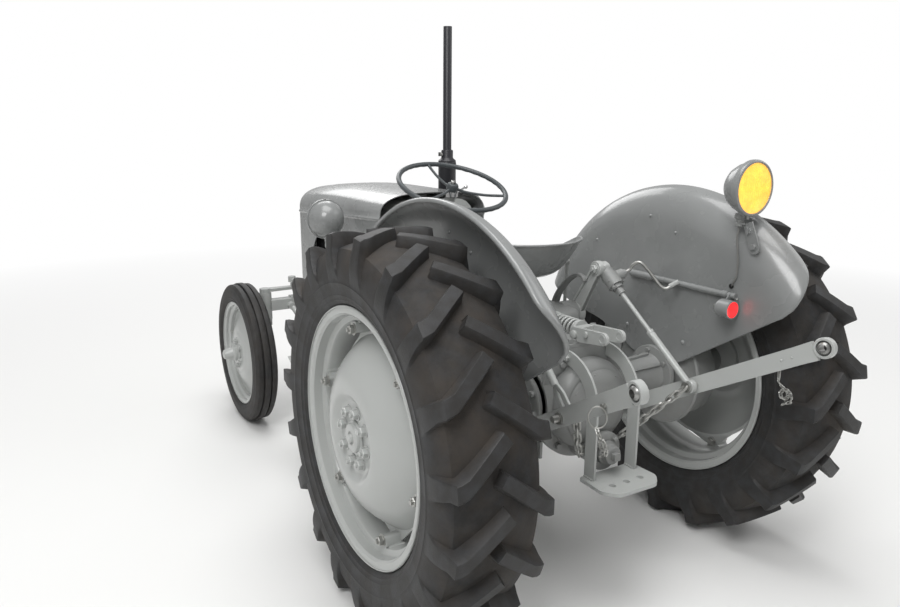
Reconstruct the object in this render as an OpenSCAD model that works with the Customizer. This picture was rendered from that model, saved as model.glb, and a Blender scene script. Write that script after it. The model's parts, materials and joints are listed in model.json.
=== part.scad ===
// Light four-wheel farm tractor with a rear three-point linkage.
// X points to the tractor's right, Y forward and Z up; the origin lies on the
// ground under the middle of the whole machine. All sizes are in millimetres.

/* [Chassis] */
// Distance between the front and rear axles
wheelbase = 1778; // [1500:1:2100]
// Distance between the rear tyres' middles
rear_track = 1275; // [1200:1:1500]
// Distance from a kingpin to its front tyre's middle
kingpin_offset = 109; // [104:1:130]
// Height of the crankshaft above the ground
crank_z = 590; // [560:1:620]
// Radius of the clutch housing behind the engine
clutch_r = 185; // [170:1:190]
// Forward end of the clutch housing, ahead of the rear axle
clutch_y = 985; // [960:1:1000]
// Distance from the engine block's front to the front axle
engine_gap = 258; // [250:1:290]
// Width of the engine block
block_w = 250; // [220:1:270]

/* [Rear wheels] */
// Radius of the rear tyre over its lugs
rear_tyre_r = 590; // [560:1:620]
// Width of the rear tyre over its lugs
rear_tyre_w = 290; // [270:1:310]
// Radius of the rear rim's flanges
rear_flange_r = 381; // [370:1:390]
// Height of the rear rim's flange above its bead seat
rear_lip_h = 25; // [20:1:30]
// Width of the rear rim over its flanges
rear_rim_w = 250; // [230:1:260]
// Number of lugs on each half of the tread
lug_count = 19; // [16:1:24]
// Height of a tread lug
lug_h = 32; // [20:1:38]
// Width of a tread lug
lug_w = 36; // [25:1:45]
// Slant of a tread lug from the wheel's axis, in degrees
lug_slant = 39; // [35:1:50]
// Thickness of the rear wheel's dished disc
disc_t = 7; // [5:1:9]
// Radius of the circle of hub nuts
hub_nut_circle = 78; // [70:1:84]
// Radius of the rear brake drum
drum_r = 178; // [160:1:186]
// Radius of the rear axle shaft
axle_r = 22; // [18:1:28]

/* [Front wheels] */
// Radius of the front tyre
front_tyre_r = 345; // [330:1:360]
// Width of the front tyre
front_tyre_w = 112; // [104:1:118]
// Radius of the front rim's flanges
front_flange_r = 257; // [250:1:264]
// Height of the front rim's flange above its bead seat
front_lip_h = 16; // [13:1:20]
// Distance between the two kingpins
kingpin_track = 916; // [880:1:930]
// Radius of a kingpin
kingpin_r = 16; // [13:1:20]
// Height of the front axle beam's middle
beam_z = 572; // [550:1:590]

/* [Steering] */
// Radius of the steering wheel to the middle of its rim
steering_r = 216; // [190:1:225]
// Tilt of the steering wheel from level, in degrees
steering_tilt = 20.6; // [15:0.1:24]
// Length of the steering column from its box to the wheel
column_l = 450; // [430:1:460]
// Length of a drop arm between its centres
drop_arm_l = 130; // [110:1:135]
// Length of a steering arm between its centres
steering_arm_l = 142; // [120:1:150]
// Distance of a drop arm's middle from the tractor's middle
drop_arm_x = 197; // [195:1:205]

/* [Bonnet] */
// Width of the bonnet
bonnet_w = 500; // [470:1:520]
// Rear edge of the bonnet, ahead of the rear axle
bonnet_rear_y = 880; // [878:1:900]
// Distance that the bonnet reaches ahead of the front axle
bonnet_overhang = 74; // [60:1:90]
// Height of the bonnet's top
bonnet_top_z = 1186; // [1170:1:1200]
// Thickness of the bonnet's sheet
bonnet_t = 3; // [2:0.5:5]
// Number of bars in the grille
grille_bars = 15; // [9:2:19]

/* [Lift] */
// Length of a lift arm between its centres
lift_arm_l = 207; // [190:1:215]
// Length of a lower link from its pivot to its ball
lower_link_l = 853; // [800:1:880]
// Distance along a lower link from its pivot to the lift rod's pin
link_pin_l = 438; // [420:1:460]
// Rise of the raised lower links above level, in degrees
link_rise = 29.4; // [20:0.1:30]
// Bore of the lower link's ball
ball_bore = 22.4; // [22:0.1:29]
// Radius of the lower link's pivot pin
link_pivot_r = 11; // [9:1:13]
// Bore of the top link's bracket
top_link_bore = 19.3; // [19:0.1:25.4]
// Bore of the drawbar plate's holes
drawbar_bore = 21; // [18:0.5:26]

/* [Body] */
// Distance of a mudguard's flat side from the tractor's middle
guard_x = 415; // [410:1:425]
// Outer radius of a mudguard
guard_r = 697; // [680:1:710]
// Thickness of a mudguard's sheet
guard_t = 3; // [2:0.5:4]
// Radius of the seat pan
seat_r = 205; // [190:1:220]
// Depth of the seat pan
seat_depth = 128; // [100:1:140]
// Radius of a headlamp
headlamp_r = 85; // [75:1:90]
// Radius of the work lamp
work_lamp_r = 87; // [75:1:92]
// Top of the exhaust stack above the ground
stack_top_z = 1895; // [1500:1:1950]
// Radius of the exhaust stack's pipe
stack_r = 20; // [16:1:24]
// Radius of the exhaust's silencer
silencer_r = 42; // [36:1:44]

/* [Hidden] */
$fn = 48;

// Running clearance between a pin and its bore
pin_gap = 0.3;
// Clearance between curved faces that seat on each other
seat_gap = 0.3;

// Colours
body_grey = [0.55, 0.56, 0.55];
dark_grey = [0.20, 0.20, 0.21];
rubber = [0.10, 0.10, 0.10];
stack_black = [0.08, 0.08, 0.09];

// Heights of the two axles follow from the tyres
axle_z = rear_tyre_r;
front_axle_z = front_tyre_r;
rear_seat_r = rear_flange_r - rear_lip_h;
front_seat_r = front_flange_r - front_lip_h;

// Lift linkage, seen from the side: places are [Y from the rear axle, Z]
lift_shaft = [170, axle_z + 215];
lift_arm_rise = 58.8;
arm_end = lift_shaft + lift_arm_l * [-cos(lift_arm_rise), sin(lift_arm_rise)];
link_pivot = [60, axle_z - 142];
link_dir = [-cos(link_rise), sin(link_rise)];
link_pin = link_pivot + link_pin_l * link_dir;
link_ball = link_pivot + lower_link_l * link_dir;
link_pivot_x = 190;
link_ball_x = 352;
link_eye_r = 30;
link_bar_r = 26;
link_t = 14;
lift_arm_x = 180;
lift_arm_t = 20;
link_bar_l = norm([lower_link_l, link_ball_x - link_pivot_x]);
link_splay = atan((link_ball_x - link_pivot_x) / lower_link_l);
ball_w = 35;

// The machine's ends give the place of the rear axle, so that the origin is its middle
front_end_y = wheelbase + front_tyre_r;
rear_end_y = -link_ball.x + link_eye_r;
rear_axle_y = (rear_end_y - front_end_y) / 2;

// Places that several pieces share
block_y0 = clutch_y;
block_y1 = wheelbase - engine_gap;
engine_l = block_y1 - block_y0;
block_z0 = crank_z - 90;
block_z1 = crank_z + 230;
rocker_z = block_z1 + 125;
gearbox_z0 = crank_z - 170;
gearbox_z1 = crank_z + 170;
gearbox_y0 = 175;
gearbox_y1 = 800;
clutch_z0 = crank_z - 175;
clutch_z1 = crank_z + 155;
cover_z0 = axle_z + 188;
cover_z1 = axle_z + 255;
cover_w = 300;
housing_face_y = -165;
shaft_line_z = axle_z - 134;

// Steering: the column runs down and forward from the wheel, square to it
column_axis = [0, sin(steering_tilt), -cos(steering_tilt)];
column_foot = [0, 888, crank_z + 209];
wheel_middle = column_foot - column_l * column_axis;
drop_shaft = [925, crank_z + 200];
drop_shaft_r = 14;
drop_arm_t = 14;
drag_x = drop_arm_x + 24;
drag_r = 11;
kingpin_x = kingpin_track / 2;
steering_ball_x = kingpin_x - steering_arm_l;
sleeve_z0 = beam_z - 72;
sleeve_z1 = beam_z + 60;
steering_arm_z = sleeve_z1 + 8;
drag_front_z = steering_arm_z + 50;

// Bonnet hinge, front support and axle pivot
hinge = [wheelbase + 47, beam_z + 34];
hinge_r = 9;
hinge_x = 150;
support_z = beam_z + 83;
axle_pin_r = 16;
beam_y = 24;
front_tyre_x = kingpin_x + kingpin_offset;
rear_tyre_x = rear_track / 2;

// Moves what is drawn with the rear axle at Y = 0 to its place
module from_axle() {
    translate([0, rear_axle_y, 0]) children();
}

// Draws a right-hand piece also on the left
module both_sides() {
    children();
    mirror([1, 0, 0]) children();
}

// Puts a right-hand piece on side 1 for the right or -1 for the left
module on_side(side) {
    if (side > 0) children();
    else mirror([1, 0, 0]) children();
}

// Block between two corners
module block(low, high) {
    translate(low) cube(high - low);
}

// Round bar across the tractor from x0 to x1, at [Y, Z]
module across(x0, x1, at, r) {
    translate([x0, at.x, at.y]) rotate([0, 90, 0]) cylinder(h = x1 - x0, r = r);
}

// Round bar along the tractor from y0 to y1, at [X, Z]
module along(y0, y1, at, r) {
    translate([at.x, y0, at.y]) rotate([-90, 0, 0]) cylinder(h = y1 - y0, r = r);
}

// Upright round bar from z0 to z1, at [X, Y]
module upright(z0, z1, at, r) {
    translate([at.x, at.y, z0]) cylinder(h = z1 - z0, r = r);
}

// Round bar between two points
module rod(p, q, r) {
    d = q - p;
    l = norm(d);
    translate(p) rotate([0, acos(d.z / l), atan2(d.y, d.x)]) cylinder(h = l, r = r);
}

// Revolves an outline of [radius, X] points about the X axis
module turned(points) {
    rotate([0, 90, 0]) rotate_extrude() polygon(points);
}

// Raises an outline of [Y, Z] points across the tractor from x0 to x1
module plate(x0, x1, points) {
    translate([x0, 0, 0]) rotate([90, 0, 90]) linear_extrude(x1 - x0) polygon(points);
}

// Flat bar with round ends: along +X from the origin, its middle plane at Z = 0.
// Its web stands a hair inside the ends, so that their faces cross instead of touching.
web_inset = 0.3;
module bar(l, r0, r1, t) {
    lean = (r0 - r1) / l;
    side = sqrt(1 - lean * lean);
    w0 = r0 - web_inset;
    w1 = r1 - web_inset;
    translate([0, 0, -t / 2]) {
        cylinder(h = t, r = r0);
        translate([l, 0, 0]) cylinder(h = t, r = r1);
        linear_extrude(t) polygon([[w0 * lean, w0 * side], [l + w1 * lean, w1 * side],
            [l + w1 * lean, -w1 * side], [w0 * lean, -w0 * side]]);
    }
}

// Flat bar across X between two [Y, Z] places, its middle plane at x
module side_bar(x, from, to, r0, r1, t) {
    d = to - from;
    translate([x, from.x, from.y]) rotate([atan2(d.y, d.x), 0, 0]) rotate([90, 0, 90]) bar(norm(d), r0, r1, t);
}

// Points of an arc about c from angle a0 to a1, in n steps
function arc(c, r, a0, a1, n) = [for (i = [0:n]) c + r * [cos(a0 + (a1 - a0) * i / n), sin(a0 + (a1 - a0) * i / n)]];

// Smooth step from 0 to 1
function ease(u) = u * u * (3 - 2 * u);

// A path made into a strip of thickness t on its left
function unit(v) = v / norm(v);
function turn_left(v) = [-v.y, v.x];
function step_dir(p, i) = unit(p[i + 1] - p[i]);
function corner_normal(p, i) = let (n = len(p) - 1,
        a = step_dir(p, max(i - 1, 0)),
        b = step_dir(p, min(i, n - 1)),
        m = turn_left(unit(a + b)))
    m / (m * turn_left(a));
function strip(p, t) = concat(p, [for (i = [len(p) - 1:-1:0]) p[i] + t * corner_normal(p, i)]);

// REAR WHEELS

// Half-width of the rear carcass at a radius, as an arc over its sidewall
wall_r = 160;
wall_mid_r = rear_seat_r + 0.45 * (rear_tyre_r - rear_seat_r);
carcass_w = rear_tyre_w / 2 - 3;
tread_r = rear_tyre_r - lug_h;
shoulder_r = tread_r - 18;
function wall_x(r) = carcass_w - wall_r + sqrt(wall_r * wall_r - (r - wall_mid_r) * (r - wall_mid_r));

// Carcass outline, one half from the bead inside the rim's flange to the middle of the tread
wall_steps = 6;
tread_steps = 3;
bead_r = rear_seat_r + seat_gap;
bead_x = rear_rim_w / 2 - 12;
wall_foot_r = rear_flange_r + 8;
function carcass_half() = concat(
    [[bead_r, bead_x], [rear_flange_r - 2, bead_x + 1], [rear_flange_r + 2, bead_x + 5]],
    [for (i = [0:wall_steps]) let (r = wall_foot_r + (shoulder_r - wall_foot_r) * i / wall_steps) [r, wall_x(r)]],
    [for (i = [1:tread_steps]) let (u = 1 - i / tread_steps)
        [tread_r - (tread_r - shoulder_r) * u * u, wall_x(shoulder_r) * u]]);
function mirrored(half) = concat(half, [for (i = [len(half) - 1:-1:0]) if (half[i].y > 0.01) [half[i].x, -half[i].y]]);

// Outline of the band that the lugs fill
lug_foot_r = wall_mid_r + 28;
lug_x = rear_tyre_w / 2;
function lug_band_half() = [[lug_foot_r, lug_x - 30], [lug_foot_r, lug_x - 3], [rear_tyre_r - 55, lug_x],
    [rear_tyre_r - 20, lug_x - 9], [rear_tyre_r - 3, lug_x - 28], [rear_tyre_r, 0]];

// One lug in plan: from the tread's middle at a slant, then square over the shoulder
lug_in_x = -14;
lug_bend_x = rear_tyre_w / 2 - 34;
lug_out_x = rear_tyre_w / 2 + 5;
module lug_plan() {
    t = lug_w / cos(lug_slant) / 2;
    s = tan(lug_slant) * (lug_bend_x - lug_in_x) / 2;
    polygon([[lug_in_x, -s - t], [lug_bend_x, s - t], [lug_out_x, s - t], [lug_out_x, s + 0.8 * t],
        [lug_bend_x, s + 0.9 * t], [lug_in_x, -s + 0.8 * t]]);
}

module lug_half(phase) {
    pitch = 360 / lug_count;
    for (i = [0:lug_count - 1])
        rotate([(i + phase) * pitch, 0, 0]) rotate([90, 0, 0])
            translate([0, 0, -rear_tyre_r - 5]) linear_extrude(rear_tyre_r + 5 - lug_foot_r + 10) lug_plan();
}

module rear_tyre() {
    turned(mirrored(carcass_half()));
    intersection() {
        turned(mirrored(lug_band_half()));
        union() {
            lug_half(0);
            mirror([1, 0, 0]) lug_half(0.5);
        }
    }
}

// Rear rim: flanges, bead seats and a well, with six brackets that the disc bolts to from inside
rim_t = 5;
well_r = rear_seat_r - 24;
disc_bolts = 6;
disc_bolt_angle = 14;
disc_bolt_r = well_r - 27;
disc_rim_x = 35;
bracket_l = 48;
function rim_half(w, flange_r, seat, well) = [[flange_r - 5, w / 2], [flange_r, w / 2 - 4], [flange_r - 3, w / 2 - 9],
    [seat, w / 2 - 11], [seat - 2, w / 2 - 41], [well, w / 2 - 51]];

module rear_rim() {
    turned(strip(mirrored(rim_half(rear_rim_w, rear_flange_r, rear_seat_r, well_r)), -rim_t));
    for (i = [0:disc_bolts - 1]) rotate([disc_bolt_angle + i * 360 / disc_bolts, 0, 0]) {
        block([disc_rim_x, disc_bolt_r - 11, -19], [disc_rim_x + bracket_l, well_r - 2, 19]);
        across(disc_rim_x + bracket_l - 1, disc_rim_x + bracket_l + 14, [disc_bolt_r + 2, 0], 12);
    }
}

// Rear disc: a dish with a rounded six-sided outline, with its hub and brake drum
hub_face_x = 123;
crown_x = 140;
crown_r = 135;
hub_flat_r = 103;
disc_steps = 5;
disc_tip_r = disc_bolt_r + 17;
disc_foot_r = disc_bolt_r - 19;
corner_r = 60;
function disc_path() = concat([[40, hub_face_x]],
    [for (i = [0:disc_steps]) let (u = i / disc_steps)
        [hub_flat_r + (crown_r - hub_flat_r) * u, hub_face_x + (crown_x - hub_face_x) * ease(u)]],
    [for (i = [1:disc_steps]) let (u = i / disc_steps)
        [crown_r + (disc_foot_r - crown_r) * u, disc_rim_x + (crown_x - disc_rim_x) * (1 - u * u)]],
    [[disc_tip_r + 20, disc_rim_x]]);

module disc_outline() {
    turn = 360 / disc_bolts;
    rotate([90, 0, 90]) linear_extrude(2 * crown_x) polygon([for (i = [0:disc_bolts - 1])
        let (a = disc_bolt_angle + i * turn, c = (disc_tip_r - corner_r) * [cos(a), sin(a)])
            each arc(c, corner_r, a - turn / 2, a + turn / 2, 6)]);
}

hub_nuts = 8;
hub_r = 52;
drum_x0 = 453.5 - rear_tyre_x;
drum_x1 = drum_x0 + 104;
module rear_disc() {
    difference() {
        union() {
            intersection() {
                turned(strip(disc_path(), -disc_t));
                disc_outline();
            }
            turned([[0, drum_x0], [drum_r, drum_x0], [drum_r, drum_x1 - 8], [drum_r - 8, drum_x1], [hub_r + 20, drum_x1],
                [hub_r, drum_x1 + 20], [hub_r, hub_face_x - disc_t - 20], [hub_flat_r - 4, hub_face_x - disc_t - 12],
                [hub_flat_r - 4, hub_face_x - disc_t], [50, hub_face_x - disc_t], [50, hub_face_x + 6],
                [40, hub_face_x + 14], [0, hub_face_x + 14]]);
            for (i = [0:hub_nuts - 1])
                rotate([i * 360 / hub_nuts, 0, 0])
                    translate([hub_face_x - 1, hub_nut_circle, 0]) rotate([0, 90, 0]) {
                        cylinder(h = 19, r = 15, $fn = 6);
                        cylinder(h = 26, r = 8);
                    }
        }
        across(drum_x0 - 1, 60, [0, 0], axle_r + pin_gap);
    }
}

module rear_wheel_place(side) {
    from_axle() on_side(side) translate([rear_tyre_x, 0, axle_z]) children();
}

module rear_tyre_left() color(rubber) rear_wheel_place(-1) rear_tyre();
module rear_tyre_right() color(rubber) rear_wheel_place(1) rear_tyre();
module rear_rim_left() color(body_grey) rear_wheel_place(-1) rear_rim();
module rear_rim_right() color(body_grey) rear_wheel_place(1) rear_rim();
module rear_disc_left() color(body_grey) rear_wheel_place(-1) rear_disc();
module rear_disc_right() color(body_grey) rear_wheel_place(1) rear_disc();

// FRONT WHEELS

rib_depth = 14;
groove_w = 9;
rib_w = 24;
front_wall = front_tyre_w / 2;
front_bead_x = 36;
module front_tyre() {
    bead = front_seat_r + seat_gap;
    wall = [[bead, front_bead_x], [front_flange_r - 1, front_bead_x + 2], [front_flange_r + 5, front_wall - 10],
        [front_flange_r + 14, front_wall - 4], [bead + 0.48 * (front_tyre_r - bead), front_wall],
        [bead + 0.71 * (front_tyre_r - bead), front_wall - 3]];
    tread = [[front_tyre_r - 9, front_wall - 10], [front_tyre_r - 5, rib_w / 2 + groove_w],
        [front_tyre_r - rib_depth, rib_w / 2 + groove_w - 2], [front_tyre_r - rib_depth, rib_w / 2 + 2],
        [front_tyre_r, rib_w / 2]];
    turned(mirrored(concat(wall, tread)));
}

front_disc_t = 5;
front_hub_x0 = -62;
front_hub_face = 44;
front_cap_x = 116;
front_rim_w = 94;
stub_r = 16;
front_nuts = 6;
front_nut_circle = 62;
module front_wheel() {
    well = front_seat_r - 14;
    flange = [[front_flange_r - 4, front_rim_w / 2], [front_flange_r, front_rim_w / 2 - 3],
        [front_flange_r - 2, front_rim_w / 2 - 7], [front_seat_r, front_rim_w / 2 - 9],
        [front_seat_r - 1, front_rim_w / 2 - 24], [well, front_rim_w / 2 - 30]];
    difference() {
        union() {
            turned(strip(mirrored(flange), -4));
            turned(strip([[30, front_hub_face], [90, front_hub_face], [104, front_hub_face - 5],
                [well - 37, 12], [well - 16, 4], [well - 3, -10]], -front_disc_t));
            turned([[0, front_hub_x0], [40, front_hub_x0], [46, front_hub_x0 + 30], [44, front_hub_face - 20],
                [82, front_hub_face - 12], [82, front_hub_face - 4], [42, front_hub_face - 4],
                [38, front_hub_face + 22], [34, front_hub_face + 26], [24, front_cap_x - 4],
                [16, front_cap_x], [0, front_cap_x]]);
            for (i = [0:front_nuts - 1])
                rotate([i * 360 / front_nuts, 0, 0])
                    translate([front_hub_face - 1, front_nut_circle, 0]) rotate([0, 90, 0])
                        cylinder(h = 14, r = 11, $fn = 6);
        }
        across(front_hub_x0 - 1, front_hub_face + 20, [0, 0], stub_r + pin_gap);
    }
}

module front_wheel_place(side) {
    from_axle() on_side(side) translate([front_tyre_x, wheelbase, front_axle_z]) children();
}

module front_tyre_left() color(rubber) front_wheel_place(-1) front_tyre();
module front_tyre_right() color(rubber) front_wheel_place(1) front_tyre();
module front_wheel_left() color(body_grey) front_wheel_place(-1) front_wheel();
module front_wheel_right() color(body_grey) front_wheel_place(1) front_wheel();

// Knuckle: kingpin, stub axle and, on top, the steering arm with its ball
module knuckle() {
    translate([kingpin_x, wheelbase, 0]) {
        upright(front_axle_z, steering_arm_z + 6, [0, 0], kingpin_r);
        upright(front_axle_z - 6, sleeve_z0 - 30, [0, 0], 23);
        upright(sleeve_z0 - 31, sleeve_z0 - pin_gap, [0, 0], 29);
        translate([0, 0, front_axle_z]) sphere(r = 27);
        across(0, front_tyre_x + front_hub_x0 - kingpin_x - 6, [0, front_axle_z], 24);
        across(0, front_tyre_x - kingpin_x + front_hub_face + 18, [0, front_axle_z], stub_r);
        upright(sleeve_z1 + pin_gap, steering_arm_z + 16, [0, 0], 27);
        translate([0, 0, steering_arm_z + 7]) rotate([0, 0, 180]) bar(steering_arm_l, 24, 19, 14);
        upright(steering_arm_z, steering_arm_z + 30, [-steering_arm_l, 0], 9);
    }
}
module knuckle_left() color(body_grey) from_axle() on_side(-1) knuckle();
module knuckle_right() color(body_grey) from_axle() on_side(1) knuckle();

// Front axle: a beam on a centre pin, bolted extensions and the kingpin sleeves
module front_axle() color(body_grey) from_axle() {
    translate([0, wheelbase, 0]) both_sides() {
        difference() {
            union() {
                block([0, -beam_y, beam_z - 32], [330, beam_y, beam_z + 32]);
                block([220, -beam_y - 14, beam_z - 26], [kingpin_x - 20, -beam_y + 2, beam_z + 26]);
                block([330, -beam_y - 14, beam_z - 26], [kingpin_x - 20, beam_y - 8, beam_z + 26]);
                upright(sleeve_z0, sleeve_z1, [kingpin_x, 0], 31);
            }
            upright(sleeve_z0 - 1, sleeve_z1 + 1, [kingpin_x, 0], kingpin_r + pin_gap);
            block([60, -beam_y + 16, beam_z - 20], [320, beam_y + 1, beam_z + 20]);
        }
    }
    along(wheelbase - 62, wheelbase + 62, [0, beam_z], axle_pin_r);
}

// Radius rods: from the axle back to balls under the clutch housing
rod_front_x = 338;
rod_bend = [rod_front_x - 26, wheelbase - 158, beam_z - 96];
rod_rear = [108, 812, clutch_z0 - 50];
rod_r = 13;
module radius_rods() color(body_grey) from_axle() both_sides() {
    front = [rod_front_x, wheelbase - beam_y - 14 - 16, beam_z - 8];
    along(wheelbase - beam_y - 14 - 32, wheelbase - beam_y - 14, [rod_front_x, beam_z - 8], 20);
    rod(front, rod_bend, rod_r);
    translate(rod_bend) sphere(r = rod_r + 1);
    rod(rod_bend, rod_rear, rod_r);
    translate(rod_rear) sphere(r = 22);
    upright(rod_rear.z, clutch_z0, [rod_rear.x, rod_rear.y], 12);
    block([20, rod_rear.y - 22, clutch_z0 - 14], [rod_rear.x + 20, rod_rear.y + 22, clutch_z0]);
}

// STEERING

module steering_column() color(body_grey) from_axle() {
    difference() {
        block([-68, 850, clutch_z1], [68, 962, clutch_z1 + 125]);
        block([-69, 930, clutch_z1 + 95], [69, 963, clutch_z1 + 126]);
    }
    both_sides() {
        across(60, drop_arm_x - 34, drop_shaft, 26);
        across(60, drop_arm_x + 12, drop_shaft, drop_shaft_r);
    }
    rod(column_foot, wheel_middle + 70 * column_axis, 22);
    rod(column_foot, column_foot - 90 * column_axis, 34);
    rod(column_foot, wheel_middle - 6 * column_axis, 10);
}

spokes = 3;
module steering_wheel() color(dark_grey) from_axle() {
    translate(wheel_middle) rotate([steering_tilt, 0, 0]) difference() {
        union() {
            rotate_extrude() translate([steering_r, 0]) circle(r = 10);
            cylinder(h = 50, r = 24, center = true);
            for (i = [0:spokes - 1])
                rotate([0, 0, 90 + i * 360 / spokes]) translate([16, 0, 0]) rotate([0, 90, 0])
                    cylinder(h = steering_r - 18, r = 6);
        }
        translate([0, 0, -26]) cylinder(h = 36, r = 10 + pin_gap);
    }
}

// Drop arm: hangs from the steering box's shaft, a ball at its lower end
module drop_arm() {
    difference() {
        union() {
            side_bar(drop_arm_x, drop_shaft, drop_shaft - [0, drop_arm_l], 25, 17, drop_arm_t);
            across(drop_arm_x - 13, drop_arm_x + 13, drop_shaft, 28);
            across(drop_arm_x, drag_x + 12, drop_shaft - [0, drop_arm_l], 8);
        }
        across(drop_arm_x - 14, drop_arm_x + 14, drop_shaft, drop_shaft_r + pin_gap);
    }
}
module drop_arm_left() color(body_grey) from_axle() on_side(-1) drop_arm();
module drop_arm_right() color(body_grey) from_axle() on_side(1) drop_arm();

module drag_link() {
    rear = [drag_x, drop_shaft.x, drop_shaft.y - drop_arm_l];
    front = [steering_ball_x, wheelbase, drag_front_z];
    difference() {
        union() {
            across(drag_x - 14, drag_x + 14, [rear.y, rear.z], 19);
            rod(rear, front, drag_r);
            upright(drag_front_z - 14, drag_front_z + 14, [front.x, front.y], 19);
        }
        across(drag_x - 15, drag_x + 15, [rear.y, rear.z], 8 + pin_gap);
    }
}
module drag_link_left() color(body_grey) from_axle() on_side(-1) drag_link();
module drag_link_right() color(body_grey) from_axle() on_side(1) drag_link();

// ENGINE AND TRANSMISSION

module engine_block() color(body_grey) from_axle() {
    w = block_w / 2;
    block([-w, block_y0 + 12, block_z0], [w, block_y1, block_z1]);
    along(block_y0, block_y0 + 14, [0, crank_z], clutch_r);
    translate([0, block_y1 - 20, 0]) rotate([90, 0, 0]) linear_extrude(engine_l - 50)
        polygon([[-w - 8, block_z0], [-w - 8, block_z0 - 14], [-w + 20, block_z0 - 105],
            [w - 20, block_z0 - 105], [w + 8, block_z0 - 14], [w + 8, block_z0]]);
    block([-w + 24, block_y0 + 22, block_z1], [w - 24, block_y1 - 10, block_z1 + 60]);
    translate([0, block_y1 - 25, 0]) rotate([90, 0, 0]) linear_extrude(engine_l - 70)
        polygon(concat([[-74, block_z1 + 60], [74, block_z1 + 60]], arc([30, rocker_z - 44], 44, 0, 90, 5),
            arc([-30, rocker_z - 44], 44, 90, 180, 5)));
    block([-w + 10, block_y1, crank_z - 80], [w - 10, block_y1 + 30, crank_z + 190]);
    along(block_y1, block_y1 + 60, [0, crank_z], 62);
}

// Right: manifold and carburettor. Left: dynamo, filter and side cover.
stack_x = 313;
stack_y = block_y1 - 220;
port_z = block_z1 + 32;
ports = 4;
fan_y = block_y1 + 50;
fan_z = crank_z + 182;
fan_blades = 4;
module engine_fittings() color(body_grey) from_axle() {
    w = block_w / 2 - 24;
    along(block_y1 + 30, fan_y + 8, [0, fan_z], 30);
    for (i = [0:fan_blades - 1])
        translate([0, fan_y, fan_z]) rotate([0, 45 + i * 360 / fan_blades, 0])
            translate([80, 0, 0]) rotate([25, 0, 0]) cube([116, 5, 56], center = true);
    for (i = [0:ports - 1])
        across(w, w + 52, [block_y0 + 80 + i * (engine_l - 170) / (ports - 1), port_z], 20);
    along(block_y0 + 50, block_y1 - 60, [w + 52, port_z], 26);
    across(w + 52, w + 96, [stack_y, port_z], 30);
    upright(port_z - 150, port_z, [w + 56, block_y0 + 110], 30);
    mirror([1, 0, 0]) {
        along(block_y1 - 285, block_y1 - 40, [block_w / 2 + 62, block_z1 - 60], 56);
        block([block_w / 2, block_y1 - 235, block_z1 - 130], [block_w / 2 + 62, block_y1 - 195, block_z1 - 100]);
        upright(block_z0 + 20, block_z0 + 190, [block_w / 2 + 43, block_y0 + 110], 41);
        across(block_w / 2, block_w / 2 + 48, [block_y0 + 110, block_z0 + 160], 24);
    }
}

collar_z = 1290;
module exhaust_stack() color(stack_black) from_axle() {
    across(block_w / 2 + 72, stack_x, [stack_y, port_z], 22);
    translate([stack_x, stack_y, port_z]) sphere(r = 22);
    upright(port_z, port_z + 60, [stack_x, stack_y], 22);
    upright(port_z + 50, collar_z, [stack_x, stack_y], silencer_r);
    translate([stack_x, stack_y, 0]) rotate_extrude() polygon([[0, collar_z - 1], [silencer_r, collar_z - 1],
        [silencer_r, collar_z], [stack_r + 8, collar_z + 12], [stack_r + 8, collar_z + 50], [0, collar_z + 50]]);
    difference() {
        upright(collar_z, stack_top_z, [stack_x, stack_y], stack_r);
        upright(stack_top_z - 120, stack_top_z + 1, [stack_x, stack_y], stack_r - 2);
    }
}

radiator_w = 410;
radiator_y = wheelbase - 153;
radiator_t = 80;
radiator_z1 = crank_z + 485;
module radiator() color(dark_grey) from_axle() {
    w = radiator_w / 2;
    block([-w, radiator_y, support_z], [w, radiator_y + radiator_t, radiator_z1]);
    block([-w + 15, radiator_y - 6, radiator_z1], [w - 15, radiator_y + radiator_t, radiator_z1 + 40]);
    upright(radiator_z1 + 40, radiator_z1 + 62, [0, radiator_y + radiator_t / 2], 30);
    along(block_y1 - 10, block_y1 + 40, [0, port_z], 22);
    translate([0, block_y1 + 40, port_z]) sphere(r = 22);
    rod([0, block_y1 + 40, port_z], [0, radiator_y + 2, radiator_z1 - 40], 22);
}

module front_support() color(body_grey) from_axle() {
    difference() {
        union() {
            block([-112, block_y1 + 74, support_z - 26], [112, hinge.x + 17, support_z]);
            both_sides() block([92, block_y1 + 30, beam_z - 50], [112, wheelbase - 42, support_z]);
            block([-58, wheelbase - 62, beam_z - 42], [58, wheelbase - 28, support_z - 20]);
            block([-58, wheelbase + 28, beam_z - 42], [58, wheelbase + 62, support_z - 20]);
            both_sides() across(50, hinge_x + 34, hinge, hinge_r);
        }
        along(wheelbase - 70, wheelbase + 70, [0, beam_z], axle_pin_r + pin_gap);
    }
}

module gearbox() color(body_grey) from_axle() {
    intersection() {
        along(gearbox_y1 - 160, clutch_y, [0, crank_z], clutch_r);
        block([-clutch_r, gearbox_y1 - 160, clutch_z0], [clutch_r, clutch_y, clutch_z1]);
    }
    translate([0, gearbox_y1 - 100, 0]) rotate([90, 0, 0]) linear_extrude(gearbox_y1 - 100 - gearbox_y0)
        polygon(concat(arc([90, gearbox_z1 - 40], 40, 0, 90, 4), arc([-90, gearbox_z1 - 40], 40, 90, 180, 4),
            arc([-60, gearbox_z0 + 70], 70, 180, 270, 4), arc([60, gearbox_z0 + 70], 70, 270, 360, 4)));
    along(gearbox_y0, gearbox_y0 + 22, [0, axle_z], 176);
}

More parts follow.
